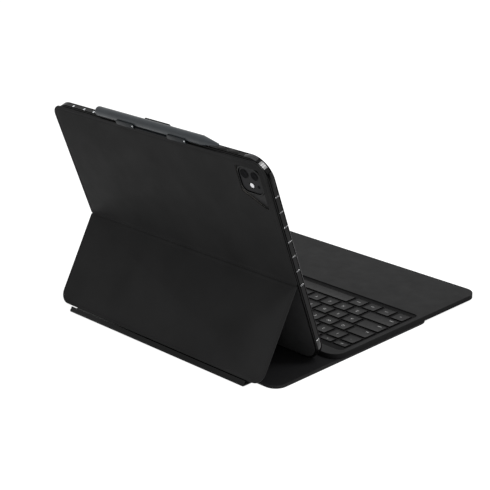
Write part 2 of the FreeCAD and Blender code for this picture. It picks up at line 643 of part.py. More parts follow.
def stylus_and_holder():
    centre_v = size.tablet_foot + size.tablet_high + size.bumper_wall + size.saddle_thick \
        + size.stylus_gap + 0.93 * size.stylus_radius
    centre_d = size.panel_thick - size.stylus_back \
        + (size.shell_thick + size.tablet_thick + size.lip_high) / 2
    barrel_place = tray_frame.multiply(along_x(size.stylus_x - size.stylus_long, centre_v,
                                               centre_d))
    barrel = rod("barrel_rod", "stylus_radius", "stylus_long", barrel_place)
    flat_corner = Vector(size.stylus_x - size.stylus_long, centre_v - 1.93 * size.stylus_radius,
                         centre_d - 1.1 * size.stylus_radius)
    flat = framed_box("barrel_flat", tray_frame, "stylus_long", "stylus_radius",
                      "2.2 * stylus_radius", flat_corner)
    keep(cut("stylus_barrel", barrel, flat), "stylus_barrel")

    tip = doc.addObject("Part::Cone", "tip_cone")
    bind(tip, Radius1="stylus_radius", Radius2="stylus_radius * 0.22", Height="tip_long")
    tip.Placement = tray_frame.multiply(Placement(
        Vector(size.stylus_x - size.stylus_long, centre_v, centre_d),
        Rotation(Vector(0, 1, 0), -90)))
    tip_flat = framed_box("tip_flat", tray_frame, "tip_long", "stylus_radius",
                          "2.2 * stylus_radius", flat_corner - Vector(size.tip_long, 0, 0))
    keep(cut("stylus_tip", tip, tip_flat), "stylus_tip")

    saddle_foot = size.tablet_foot + size.tablet_high + size.bumper_wall
    clips = []
    length = size.clip_spread + size.clip_wide
    clip_spots = (("rear", size.clip_middle + size.clip_spread / 2),
                  ("front", size.clip_front_x),
                  ("rear", size.clip_middle - size.clip_spread / 2))
    clips.append(framed_box("saddle", tray_frame, length, "saddle_thick", "2 * stylus_radius",
                            Vector(size.clip_middle - length / 2, saddle_foot,
                                   centre_d - size.stylus_radius)))
    gap = size.stylus_radius + size.stylus_gap
    for side, x in clip_spots:
        low = centre_d - gap - size.clip_wall if side == "rear" else centre_d + gap
        wide = size.clip_wide if side == "rear" else size.clip_front
        rise = 0 if side == "rear" else size.clip_rise
        clips.append(framed_box("clip", tray_frame, wide, centre_v - saddle_foot + rise,
                                "clip_wall",
                                Vector(x - wide / 2, saddle_foot, low)))
        root = low if side == "rear" else centre_d
        clips.append(framed_box("clip_root", tray_frame, wide, "saddle_thick",
                                "stylus_radius + stylus_gap + clip_wall",
                                Vector(x - wide / 2, saddle_foot, root)))
    keep(fuse("stylus_holder", clips), "stylus_holder")


def hinge_leaf():
    sleeve_place = tray_frame.multiply(along_x(
        -size.hinge_long / 2 + size.lug_long, pin_in_tray.y, pin_in_tray.z))
    outer = rod("sleeve_outer", "sleeve_radius", "hinge_long - 2 * lug_long", sleeve_place)
    leaf = framed_box("leaf_plate", tray_frame, "hinge_long - 2 * lug_long", "leaf_thick",
                      pin_in_tray.z - size.leaf_reach,
                      Vector(-size.hinge_long / 2 + size.lug_long,
                             size.tablet_foot - size.bumper_wall - size.leaf_thick,
                             size.leaf_reach))
    bore = rod("sleeve_bore", "pin_radius + sleeve_gap", "hinge_long - 2 * lug_long",
               sleeve_place)
    keep(cut("hinge_sleeve", fuse("leaf_and_sleeve", [outer, leaf]), bore), "hinge_sleeve")


def tablet():
    housing = new_body("tablet_housing", tray_frame)
    plate = centred(housing, "tablet_width", "tablet_high", "tablet_thick", "0", "tablet_foot",
                    SEAT)
    recess = centred(housing, "tablet_width - 2 * glass_border",
                     "tablet_high - 2 * glass_border", "glass_thick", "0",
                     "tablet_foot + glass_border", SEAT + " + tablet_thick - glass_thick",
                     cut=True)
    round_uprights(housing, recess, "tablet_corner - glass_border")
    round_uprights(housing, plate, "tablet_corner")
    round_rim(housing, size.panel_thick + size.shell_thick + 0.1, "edge_round")
    keep(housing, "tablet_housing")

    glass = new_body("tablet_screen", tray_frame)
    plate = centred(glass, "tablet_width - 2 * glass_border", "tablet_high - 2 * glass_border",
                    "glass_thick", "0", "tablet_foot + glass_border",
                    SEAT + " + tablet_thick - glass_thick")
    round_uprights(glass, plate, "tablet_corner - glass_border")
    keep(glass, "tablet_screen")

    camera = new_body("camera_plate", tray_frame)
    plate = centred(camera, "camera_size", "camera_size", "camera_high + 0.1", "camera_x",
                    "camera_v - camera_size / 2", SHELL_FRONT + " - camera_high")
    round_uprights(camera, plate, "camera_corner")
    keep(camera, "camera_plate")

    lens_level = size.panel_thick + size.shell_thick - size.camera_high - size.lens_proud
    row_v = size.camera_v + size.camera_size * 0.23
    low_v = size.camera_v - size.camera_size * 0.2
    half = size.lens_spacing / 2
    lenses = []
    for x, v, radius in ((half, row_v, "lens_radius"), (-half, row_v, "lens_radius * 0.9"),
                         (0.0, low_v, "lens_radius * 0.5"), (-8.0, low_v, "lens_radius * 0.3")):
        lenses.append(rod("lens", radius, "lens_proud", tray_frame.multiply(
            Placement(Vector(size.camera_x + x, v, lens_level), Rotation()))))
    keep(group("camera_lenses", lenses), "camera_lenses")


# --------------------------------------------------------------------------- leg and spine
def leg():
    half = "panel_thick / 2"
    cover = new_body("leg_cover", leg_frame)
    plate = centred(cover, "panel_width", "leg_long - fold_gap", "panel_thick", "0",
                    "fold_gap", "-" + half)
    pocket = centred(cover, "panel_width - 2 * cover_rim",
                     "leg_long - fold_gap - 2 * cover_rim", "panel_thick - cover_skin", "0",
                     "fold_gap + cover_rim", "-" + half, cut=True)
    round_uprights(cover, pocket, "leg_corner - cover_rim", far_only=True)
    round_uprights(cover, plate, "leg_corner", far_only=True)
    round_rim(cover, size.panel_thick / 2, "edge_round")
    keep(cover, "leg_cover")

    for name, thick, level in (("leg_board", "panel_thick - cover_skin - lining_thick",
                                half + " - cover_skin - (panel_thick - cover_skin"
                                " - lining_thick)"),
                               ("leg_lining", "lining_thick", "-" + half)):
        layer = new_body(name, leg_frame)
        plate = centred(layer, "panel_width - 2 * cover_rim",
                        "leg_long - fold_gap - 2 * cover_rim", thick, "0",
                        "fold_gap + cover_rim", level)
        round_uprights(layer, plate, "leg_corner - cover_rim", far_only=True)
        if name == "leg_board":
            for x in MAGNET_X:
                centred(layer, "magnet_long", "magnet_wide", "panel_thick", x,
                        "leg_long * 0.75", "-" + half, cut=True)
        keep(layer, name)

    magnets = []
    for x in (-size.magnet_x, 0.0, size.magnet_x):
        magnets.append(framed_box(
            "leg_magnet", leg_frame, "magnet_long", "magnet_wide",
            "panel_thick - cover_skin - lining_thick",
            Vector(x - size.magnet_long / 2, size.leg_long * 0.75,
                   -size.panel_thick / 2 + size.lining_thick)))
    keep(group("leg_magnets", magnets), "leg_magnets")


def spine():
    """A flat strip on the table that turns up behind the base to meet the foot of the leg."""
    middle = size.spine_rise + size.spine_thick / 2
    offset = (size.panel_thick - size.spine_thick) / 2
    slope = math.radians(leg_angle)
    rise = fold_point.z + (offset + size.leg_relief) * math.cos(slope)
    bend = (rise - middle) / math.sin(slope)
    bend_y = leg_frame.multVec(Vector(0, bend, offset)).y
    root = size.spine_root + size.spine_gap
    flat = framed_box("spine_flat", Placement(), "spine_width", bend_y - root, "spine_thick",
                      Vector(-size.spine_width / 2, root, size.spine_rise))
    start = size.leg_long + 0.4
    flange = framed_box("spine_flange", leg_frame, "spine_width", bend - start, "spine_thick",
                        Vector(-size.spine_width / 2, start, offset - size.spine_thick / 2))
    knuckle = rod("spine_bend", "spine_thick / 2", "spine_width",
                  along_x(-size.spine_width / 2, bend_y, middle))
    keep(fuse("spine_strip", [flat, flange, knuckle]), "spine_strip")


# --------------------------------------------------------------------------- build and write
def check_and_write():
    doc.recompute()
    for thing in doc.Objects:
        if "Invalid" in thing.State or "Error" in thing.State:
            raise RuntimeError("%s did not build: %s" % (thing.Label, thing.State))
    os.makedirs("parts", exist_ok=True)
    for node in nodes:
        shape = node.Shape
        if shape.isNull() or not shape.isValid() or not shape.Solids:
            raise RuntimeError("%s has no valid solid" % node.Label)
    for node in nodes:
        node.Shape.exportStep("parts/%s.step" % node.Label)
    print("wrote %d sub-parts" % len(nodes))


def print_joint_sizes():
    """Prints the axes and the travel that the joints need, in millimetres and degrees."""
    chord = pivot_point - root_point
    rest_angle = math.degrees(math.atan2(chord.z, chord.y))
    closed_pivot_y = size.spine_root
    closed_foot = closed_pivot_y - size.spine_pivot + size.fold_high
    print("fold axis", fold_point, "leg angle", leg_angle)
    print("spine axis", pivot_point, "root", root_point, "chord", chord.Length, rest_angle)
    print("pin axis", pin_point)
    turn = math.radians(180 - size.tilt)
    arm = Vector(0, -pin_point.y, size.panel_lift - pin_point.z)
    moved_y = arm.y * math.cos(turn) - arm.z * math.sin(turn)
    moved_z = arm.y * math.sin(turn) + arm.z * math.cos(turn)
    print("closing turn", 180 - size.tilt, "closed panel skin z", pin_point.z + moved_z)
    print("keyboard slide", closed_foot - (pin_point.y + moved_y))
    print("leg turn", -(180 - size.tilt - leg_angle), "spine turn", 90 - rest_angle - leg_angle)


base_sheet()
keyboard_slab()
back_panel()
bumper()
stylus_and_holder()
hinge_leaf()
tablet()
leg()
spine()
check_and_write()
print_joint_sizes()
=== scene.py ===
"""Tablet keyboard case: the finished look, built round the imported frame.

Sizes are in metres. The tray's own frame runs x across, y up the back panel and z from the outer
skin towards the screen; the leg's runs y down the leg and z outwards.
"""

import json
import math

import bpy
from bpy.props import FloatProperty, FloatVectorProperty, IntProperty, PointerProperty
from mathutils import Matrix, Vector


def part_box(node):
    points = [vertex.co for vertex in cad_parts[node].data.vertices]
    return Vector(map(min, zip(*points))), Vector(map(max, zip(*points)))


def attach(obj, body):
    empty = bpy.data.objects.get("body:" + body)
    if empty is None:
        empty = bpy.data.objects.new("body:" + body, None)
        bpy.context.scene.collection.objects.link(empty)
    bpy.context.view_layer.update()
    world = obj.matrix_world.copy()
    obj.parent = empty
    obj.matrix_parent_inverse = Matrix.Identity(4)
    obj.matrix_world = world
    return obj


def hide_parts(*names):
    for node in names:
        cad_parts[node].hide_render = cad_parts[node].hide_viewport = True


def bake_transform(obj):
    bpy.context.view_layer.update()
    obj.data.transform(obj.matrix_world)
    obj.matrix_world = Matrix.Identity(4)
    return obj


bl_info = {
    "name": "Tablet Keyboard Case",
    "version": (1, 0, 0),
    "blender": (4, 5, 0),
    "location": "3D View > Sidebar > Case",
    "description": "Models and finishes a folding tablet case with a keyboard, piece by piece",
    "category": "Object",
}

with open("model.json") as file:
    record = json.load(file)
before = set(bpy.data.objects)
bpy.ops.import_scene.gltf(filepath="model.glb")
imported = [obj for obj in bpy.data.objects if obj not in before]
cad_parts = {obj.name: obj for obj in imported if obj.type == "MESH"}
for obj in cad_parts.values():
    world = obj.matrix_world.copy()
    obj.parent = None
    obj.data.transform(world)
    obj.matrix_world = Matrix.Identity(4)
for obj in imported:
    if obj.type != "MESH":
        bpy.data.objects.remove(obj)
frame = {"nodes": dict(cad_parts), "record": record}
MM = 0.001
NEAR = 2e-6
JOINTS = {joint["name"]: joint for joint in frame["record"]["behaviour"]["joints"]}
UP_PANEL = Vector(JOINTS["stylus_lift_out"]["axis"])
FOLD = Vector(JOINTS["leg_fold"]["pos_m"])

# Fixed places in the tray's own frame, and the clearances between pieces.
SEAT_GAP = 0.15 * MM
COVER_RIM = 0.55 * MM
WELT_WIDE = 0.35 * MM
WELT_DEEP = 0.12 * MM
POCKET_EDGE = 1.45 * MM
POCKET_DEEP = 1.2 * MM
TABLET_BACK = 2.9 * MM
TABLET_FRONT = 8.8 * MM
PAD_LEVEL = 4.15 * MM
PAD_HIGH = 3.4 * MM
PAD_PROUD = 0.4 * MM
PAD_LONG = 11.0 * MM
VOLUME_PADS = {"volume_up": -90.0 * MM, "volume_down": -104.0 * MM}
POWER_PAD = (191.5 * MM, 206.5 * MM)
SOCKET = (100.45 * MM, 117.45 * MM)
CAMERA = (-120.3 * MM, 196.0 * MM)
CAMERA_HALF = 12.3 * MM
# Each lens: its place from the camera's middle and its radius, in mm, and if it is the flash.
LENSES = ((6.0, 5.66, 4.6, False), (-6.0, 5.66, 4.14, False), (0.0, -4.92, 2.9, True),
          (-8.0, -4.92, 1.38, False))
STYLUS_RIGHT = 73.0 * MM
STYLUS_FLAT = 0.93


# --------------------------------------------------------------------------- settings
def length(name, description, default):
    return FloatProperty(name=name, description=description, default=default, min=0.0,
                         subtype="DISTANCE", unit="LENGTH", precision=5)


def angle(name, description, default):
    return FloatProperty(name=name, description=description, default=default,
                         subtype="ANGLE", unit="ROTATION")


def colour(name, description, default):
    return FloatVectorProperty(name=name, description=description, default=default, size=3,
                               subtype="COLOR", min=0.0, max=1.0)


class CaseSizes(bpy.types.PropertyGroup):
    """Sizes of the case's pieces."""
    tilt: angle("Tray tilt", "How far the tray stands up from the table",
                math.atan2(UP_PANEL.z, UP_PANEL.y))
    tray_lift: length("Tray lift", "Height of the back panel's foot", 3.05 * MM)
    leg_slope: angle("Leg slope", "How steeply the kickstand leg runs down",
                     math.radians(60.69604))
    leg_relief: length("Leg relief", "How far the leg stands out from the fold line", 0.15 * MM)
    panel_width: length("Panel width", "Width of the back panel and the leg", 283.6 * MM)
    panel_high: length("Panel height", "Height of the back panel with the leg", 217.9 * MM)
    panel_foot: length("Upper panel foot", "Where the upper panel starts", 90.3 * MM)
    panel_thick: length("Panel thickness", "Thickness of the covered boards", 1.8 * MM)
    panel_corner: length("Panel corner", "Corner radius of the covers", 12.0 * MM)
    leg_long: length("Leg length", "From the fold to the leg's foot", 94.0 * MM)
    welt: length("Welt", "Distance of the pressed line from a cover's edge", 2.4 * MM)
    base_width: length("Base width", "Width of the base sheet", 300.0 * MM)
    base_front: length("Base front", "How far the base reaches forwards", 152.0 * MM)
    base_rear: length("Base rear", "How far the base reaches backwards", 64.5 * MM)
    base_thick: length("Base thickness", "Thickness of the base sheet", 2.5 * MM)
    base_corner: length("Base corner", "Corner radius of the base sheet", 13.0 * MM)
    key_pitch: length("Key pitch", "Distance from key to key", 17.9 * MM)
    key_gap: length("Key gap", "Gap between two keys", 2.3 * MM)
    key_top: length("Key top", "Height of the keys' tops above the table", 7.8 * MM)
    key_high: length("Key height", "Height of a key cap", 1.9 * MM)
    key_dish: length("Key dish", "How far a key's face is hollowed", 0.16 * MM)
    front_row: length("Front row", "How far forward the front row of keys lies", 125.7 * MM)
    tablet_width: length("Tablet width", "Width of the tablet", 280.6 * MM)
    tablet_high: length("Tablet height", "Height of the tablet", 214.9 * MM)
    tablet_foot: length("Tablet foot", "Height of the tablet's lower edge on the panel",
                        1.5 * MM)
    tablet_corner: length("Tablet corner", "Corner radius of the tablet", 18.0 * MM)
    bumper_wall: length("Bumper wall", "Thickness of the bumper's side wall", 2.5 * MM)
    bumper_front: length("Bumper front", "Depth of the bumper's front lip", 9.3 * MM)
    rib_step: length("Rib step", "Distance between the bumper's ribs", 15.8 * MM)
    stylus_radius: length("Stylus radius", "Radius of the stylus", 4.45 * MM)
    stylus_long: length("Stylus length", "Length of the barrel", 142.0 * MM)
    stylus_high: length("Stylus height", "Height of the stylus on the panel", 223.6885 * MM)
    stylus_deep: length("Stylus depth", "How far in front of the outer skin the stylus lies",
                        3.3 * MM)
    tip_long: length("Tip length", "Length of the stylus's tapered tip", 20.0 * MM)
    corner_steps: IntProperty(name="Corner steps", description="Facets in a rounded corner",
                              default=14, min=3, max=32)


class CaseColours(bpy.types.PropertyGroup):
    """Colours of the case's finishes."""
    soft: colour("Soft cover", "Soft-touch cover of the panels", (0.0132, 0.0132, 0.0133))
    # The edge tone is a darker copy of the soft cover: a painted shade on the covers' rims and on
    # the spine strip.
    edge: colour("Turned edge", "Turned edge of the covers", (0.0055, 0.0055, 0.0056))
    palm: colour("Palm rest", "Smooth skin round the keys", (0.0052, 0.0052, 0.0054))
    keys: colour("Keys", "Key caps", (0.0044, 0.0044, 0.0046))
    legend: colour("Legends", "Marks on the keys", (0.30, 0.30, 0.30))
    smoke: colour("Smoked bumper", "Translucent bumper", (0.0040, 0.0039, 0.0040))
    slate: colour("Stylus", "Stylus shell", (0.021, 0.0248, 0.028))
    metal: colour("Tablet metal", "Tablet housing", (0.11, 0.11, 0.115))


def sizes():
    return bpy.context.scene.case_sizes


def colours():
    return bpy.context.scene.case_colours


# --------------------------------------------------------------------------- modelling by hand
def only(piece):
    """Selects one piece and makes it active."""
    bpy.ops.object.select_all(action="DESELECT")
    piece.select_set(True)
    bpy.context.view_layer.objects.active = piece


def settle(piece, place=None):
    """Puts a piece in its place and writes the place into its mesh."""
    only(piece)
    if place is not None:
        piece.matrix_world = place
    bpy.ops.object.transform_apply(location=True, rotation=True, scale=True)
    return piece


def named(name):
    piece = bpy.context.object
    piece.name = name
    piece.data.name = name
    return piece


def block(name, low, high):
    """A cuboid between two corners."""
    low, high = Vector(low), Vector(high)
    bpy.ops.object.select_all(action="DESELECT")
    bpy.ops.mesh.primitive_cube_add(size=1, location=(low + high) / 2, scale=high - low)
    return settle(named(name))


def disc(name, radius, depth, centre, sides=48, turn=(0.0, 0.0, 0.0)):
    """A cylinder about its centre, its axis along Z before it is turned."""
    bpy.ops.object.select_all(action="DESELECT")
    bpy.ops.mesh.primitive_cylinder_add(vertices=sides, radius=radius, depth=depth,
                                        location=centre, rotation=turn)
    return settle(named(name))


def edit(piece, kind, wanted, *steps):
    """Selects the edges or faces that are wanted and works on them in edit mode."""
    only(piece)
    mesh = piece.data
    bpy.context.tool_settings.mesh_select_mode = (False, kind == "EDGE", kind == "FACE")
    for item in (*mesh.vertices, *mesh.edges, *mesh.polygons):
        item.select = False
    if kind == "EDGE":
        for item in mesh.edges:
            first, last = (mesh.vertices[index].co for index in item.vertices)
            item.select = wanted(first, last)
    else:
        for item in mesh.polygons:
            item.select = wanted(item.center, item.normal)
    bpy.ops.object.mode_set(mode="EDIT")
    for step in steps:
        step()
    bpy.ops.object.mode_set(mode="OBJECT")
    return piece


def whole(piece, *steps):
    """Works on all of a piece in edit mode."""
    only(piece)
    bpy.ops.object.mode_set(mode="EDIT")
    bpy.ops.mesh.select_all(action="SELECT")
    for step in steps:
        step()
    bpy.ops.object.mode_set(mode="OBJECT")
    return piece


def bevel(offset, segments, profile=0.5):
    return lambda: bpy.ops.mesh.bevel(offset=offset, segments=segments, profile=profile,
                                      affect="EDGES", clamp_overlap=True)


def inset(thickness, depth=0.0):
    return lambda: bpy.ops.mesh.inset(thickness=thickness, depth=depth)


def sink(shift):
    """Draws the picked faces out by a shift, with walls left behind them."""
    return lambda: bpy.ops.mesh.extrude_region_move(
        TRANSFORM_OT_translate={"value": tuple(shift)})


def soften(piece, degrees=32.0):
    only(piece)
    bpy.ops.object.shade_smooth_by_angle(angle=math.radians(degrees))
    return piece


def modify(piece, kind, **values):
    """Adds a modifier, sets it and applies it."""
    only(piece)
    modifier = piece.modifiers.new(kind.title(), kind)
    for name, value in values.items():
        setattr(modifier, name, value)
    bpy.ops.object.modifier_apply(modifier=modifier.name)
    return piece


def cut_out(piece, *cutters):
    """Cuts the cutters' shapes out of a piece and clears them away."""
    for cutter in cutters:
        modify(piece, "BOOLEAN", operation="DIFFERENCE", solver="EXACT", object=cutter)
        bpy.data.objects.remove(cutter)
    return piece


def joined(name, pieces):
    """Joins pieces to one."""
    bpy.ops.object.select_all(action="DESELECT")
    for piece in pieces:
        piece.select_set(True)
    bpy.context.view_layer.objects.active = pieces[0]
    if len(pieces) > 1:
        bpy.ops.object.join()
    return named(name)


def doubled(piece, shift):
    """A copy of a piece with its own mesh, moved by a shift."""
    only(piece)
    bpy.ops.object.duplicate(linked=False)
    copy = bpy.context.object
    copy.location = shift
    return settle(copy)


def at_level(level):
    return lambda a, b: abs(a.z - level) < NEAR and abs(b.z - level) < NEAR


def upright(a, b):
    """Picks the edges that stand straight up."""
    return (a.xy - b.xy).length < NEAR


def slab(name, low, high, corner, rims=(0.0, 0.0), rear_only=False, steps=4):
    """A plate with rounded upright edges, its lower and upper rims rounded by rims."""
    piece = block(name, low, high)
    middle = (low[1] + high[1]) / 2
    edit(piece, "EDGE", lambda a, b: upright(a, b) and (not rear_only or a.y > middle),
         bevel(corner, sizes().corner_steps))
    for level, rim in zip((low[2], high[2]), rims):
        if rim:
            edit(piece, "EDGE", at_level(level), bevel(rim, steps))
    return piece


def facing(direction, level, axis=2):
    """Picks the flat faces that look one way and lie at a level."""
    look = Vector(direction)
    return lambda centre, normal: normal.dot(look) > 0.99 and abs(centre[axis] - level) < NEAR


def finished(piece, body, finish, slot, *nodes, degrees=32.0):
    """Smooths a piece, gives it its finish, ties it to its body and hides the CAD nodes it stands
    for.
    """
    soften(piece, degrees)
    if finish is not None:
        piece.data.materials.clear()
        piece.data.materials.append(surface(finish))
    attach(piece, body)
    if nodes:
        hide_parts(*nodes)
    return piece


def two_tone(piece, first, second, is_second):
    """Gives a piece two finishes, the second on the faces that are picked."""
    for name in (first, second):
        piece.data.materials.append(surface(name))
    for side in piece.data.polygons:
        side.material_index = int(is_second(side))


def is_rim(side):
    """Picks the faces that aren't level."""
    return abs(side.normal.z) <= 0.999


def tray_place():
    return (Matrix.Translation((0, 0, sizes().tray_lift))
            @ Matrix.Rotation(sizes().tilt, 4, "X"))


def leg_place():
    return (Matrix.Translation(FOLD) @ Matrix.Rotation(-sizes().leg_slope, 4, "X")
            @ Matrix.Translation((0, 0, sizes().leg_relief)))


def fitted(piece, body, finish, slot, *nodes, degrees=32.0):
    """Moves a piece modelled in the tray's own frame to its place and finishes it."""
    settle(piece, tray_place())
    return finished(piece, body, finish, slot, *nodes, degrees=degrees)


# --------------------------------------------------------------------------- finishes
class Finish:
    """A procedural material, wired one node at a time."""

    def __init__(self, name):
        self.material = bpy.data.materials.new("case_" + name)
        self.material.use_nodes = True
        self.tree = self.material.node_tree
        self.shader = self.tree.nodes["Principled BSDF"]
        self.spot = self.node("ShaderNodeTexCoord").outputs["Object"]

    def node(self, kind, **values):
        made = self.tree.nodes.new(kind)
        for name, value in values.items():
            if hasattr(made, name):
                setattr(made, name, value)
            else:
                made.inputs[name.replace("_", " ").title()].default_value = value
        return made

    def join(self, start, end):
        self.tree.links.new(start, end)

    def set(self, **values):
        for name, value in values.items():
            self.shader.inputs[name.replace("_", " ")].default_value = value
        return self

    def stretched(self, scale):
        mapping = self.node("ShaderNodeMapping")
        mapping.inputs["Scale"].default_value = scale
        self.join(self.spot, mapping.inputs["Vector"])
        return mapping.outputs["Vector"]

    def noise(self, scale, detail=3.0, roughness=0.5, spot=None):
        texture = self.node("ShaderNodeTexNoise")
        texture.inputs["Scale"].default_value = scale
        texture.inputs["Detail"].default_value = detail
        texture.inputs["Roughness"].default_value = roughness
        self.join(spot or self.spot, texture.inputs["Vector"])
        return texture.outputs["Fac"]

    def cells(self, scale, feature="F1", spot=None):
        texture = self.node("ShaderNodeTexVoronoi", feature=feature)
        texture.inputs["Scale"].default_value = scale
        self.join(spot or self.spot, texture.inputs["Vector"])
        return texture.outputs["Distance"]

    def tones(self, pattern, dark, light, low=0.3, high=0.7):
        ramp = self.node("ShaderNodeValToRGB")
        ramp.color_ramp.elements[0].position = low
        ramp.color_ramp.elements[1].position = high
        ramp.color_ramp.elements[0].color = (*dark, 1.0)
        ramp.color_ramp.elements[1].color = (*light, 1.0)
        self.join(pattern, ramp.inputs["Fac"])
        self.join(ramp.outputs["Color"], self.shader.inputs["Base Color"])
        return self

    def shine(self, pattern, low, high):
        spread = self.node("ShaderNodeMapRange")
        spread.inputs["From Min"].default_value = 0.25
        spread.inputs["From Max"].default_value = 0.75
        spread.inputs["To Min"].default_value = low
        spread.inputs["To Max"].default_value = high
        self.join(pattern, spread.inputs["Value"])
        self.join(spread.outputs["Result"], self.shader.inputs["Roughness"])
        return self

    def relief(self, *layers):
        """Adds bumps, each a pattern, its strength and its height."""
        below = None
        for pattern, strength, height in layers:
            bump = self.node("ShaderNodeBump")
            bump.inputs["Strength"].default_value = strength
            bump.inputs["Distance"].default_value = height
            self.join(pattern, bump.inputs["Height"])
            if below is not None:
                self.join(below, bump.inputs["Normal"])
            below = bump.outputs["Normal"]
        self.join(below, self.shader.inputs["Normal"])
        return self


def surface(name):
    """A finish mixed before, by its name."""
    return bpy.data.materials["case_" + name]


def shade(tone, share):
    return tuple(min(1.0, channel * share) for channel in tone)


def soft_touch(name, tone, rough, grain, specular=0.09):
    """Soft-touch cover: fine pebbled grain, slow changes of tone and a dull sheen."""
    finish = Finish(name)
    wide, fine = finish.noise(22.0, 4.0), finish.noise(900.0, 2.0)
    finish.tones(wide, shade(tone, 0.88), shade(tone, 1.12))
    finish.shine(finish.noise(60.0, 3.0), rough - 0.04, rough + 0.05)
    finish.relief((finish.cells(1400.0), grain, 0.00004), (fine, grain * 0.6, 0.00004))
    finish.set(Specular_IOR_Level=specular)
    return finish


def moulded(name, tone, rough, specular=0.4):
    """Moulded plastic with a fine spark-eroded texture."""
    finish = Finish(name)
    finish.tones(finish.noise(70.0, 3.0), shade(tone, 0.9), shade(tone, 1.1))
    finish.shine(finish.noise(340.0, 2.0), rough - 0.05, rough + 0.06)
    finish.relief((finish.noise(2600.0, 2.0), 0.18, 0.00003))
    finish.set(Specular_IOR_Level=specular)
    return finish


def brushed(name, tone, rough, along=(20.0, 1600.0, 1600.0)):
    """Metal with fine brush lines along X."""
    finish = Finish(name)
    lines = finish.noise(1.0, 3.0, 0.6, finish.stretched(along))
    finish.tones(lines, shade(tone, 0.82), shade(tone, 1.16))
    finish.shine(lines, rough - 0.06, rough + 0.1)
    finish.relief((lines, 0.12, 0.00002))
    finish.set(Metallic=1.0)
    return finish


def smoked(name, tone, through, rough, specular):
    """Smoked translucent plastic: clear enough to glow at its thin edges."""
    finish = Finish(name)
    cloud = finish.noise(35.0, 2.0)
    finish.tones(cloud, shade(tone, 0.85), shade(tone, 1.2))
    finish.shine(finish.noise(120.0, 2.0), rough, rough + 0.06)
    finish.relief((finish.noise(90.0, 2.0), 0.08, 0.0001))
    finish.set(Transmission_Weight=through, IOR=1.46, Specular_IOR_Level=specular)
    return finish


def glassy(name, tone, rough, coat=0.0, specular=0.5):
    """Dark polished glass."""
    finish = Finish(name)
    finish.tones(finish.noise(6.0, 1.0), shade(tone, 0.9), shade(tone, 1.1))
    finish.shine(finish.noise(40.0, 2.0), rough, rough + 0.03)
    finish.relief((finish.noise(12.0, 1.0), 0.015, 0.0002))
    finish.set(Specular_IOR_Level=specular, Coat_Weight=coat, Coat_Roughness=0.02)
    return finish


def woven(name, tone):
    """Brushed microfibre with a close nap."""
    finish = Finish(name)
    nap = finish.noise(1.0, 4.0, 0.65, finish.stretched((900.0, 500.0, 900.0)))
    finish.tones(nap, shade(tone, 0.8), shade(tone, 1.25))
    finish.shine(nap, 0.82, 0.95)
    finish.relief((nap, 0.3, 0.00008), (finish.cells(1700.0), 0.2, 0.00005))
    finish.set(Specular_IOR_Level=0.05)
    return finish


def lacquered(name, tone):
    """Lacquered board with a faint pattern of tracks."""
    finish = Finish(name)
    tracks = finish.cells(160.0, "DISTANCE_TO_EDGE")
    finish.tones(tracks, shade(tone, 1.8), tone, 0.02, 0.06)
    finish.shine(tracks, 0.2, 0.3)
    finish.relief((tracks, 0.2, 0.00005))
    return finish


def pressed(name, tone):
    """Pressed fibre board."""
    finish = Finish(name)
    fibre = finish.noise(1.0, 5.0, 0.7, finish.stretched((300.0, 900.0, 900.0)))
    finish.tones(fibre, shade(tone, 0.75), shade(tone, 1.25))
    finish.shine(fibre, 0.75, 0.9)
    finish.relief((fibre, 0.35, 0.00008))
    return finish


def lit(name, tone):
    """Clear moulded lens or light guide."""
    finish = Finish(name)
    finish.tones(finish.noise(80.0, 2.0), shade(tone, 0.9), tone)
    finish.shine(finish.noise(200.0, 2.0), 0.2, 0.3)
    finish.relief((finish.noise(300.0, 2.0), 0.05, 0.00005))
    finish.set(Transmission_Weight=0.3)
    return finish


NODE_FINISHES = {
    "soft_cover": ["back_panel_cover", "leg_cover", "base_cover", "spine_strip", "fold_bead"],
    "palm_skin": ["keyboard_skin"],
    "deck_plastic": ["keyboard_deck", "keyboard_floor"],
    "key_plastic": ["power_slider"],
    "microfibre": ["base_lining", "leg_lining"],
    "fibre_board": ["base_board", "back_panel_board", "leg_board"],
    "soft_rubber": ["grip_strips", "dome_sheet"],
    "plated_steel": ["base_magnets", "leg_magnets", "keyboard_screws", "charging_port",
                     "hinge_pin", "battery"],
    "dark_steel": ["hinge_sleeve"],
    "green_lacquer": ["circuit_board"],
    "clear_guide": ["light_guide", "status_lamp"],
    "smoked_plastic": ["bumper_frame", "corner_cushions", "stylus_holder"],
    "tray_plastic": ["bumper_back"],
    "smoked_pad": ["volume_up_pad", "volume_down_pad", "power_pad", "camera_rim"],
    "dark_metal": ["tablet_housing"],
    "screen_glass": ["tablet_screen"],
    "camera_glass": ["camera_plate"],
    "lens_glass": ["camera_lenses"],
    "slate_shell": ["stylus_barrel", "stylus_tip"],
}


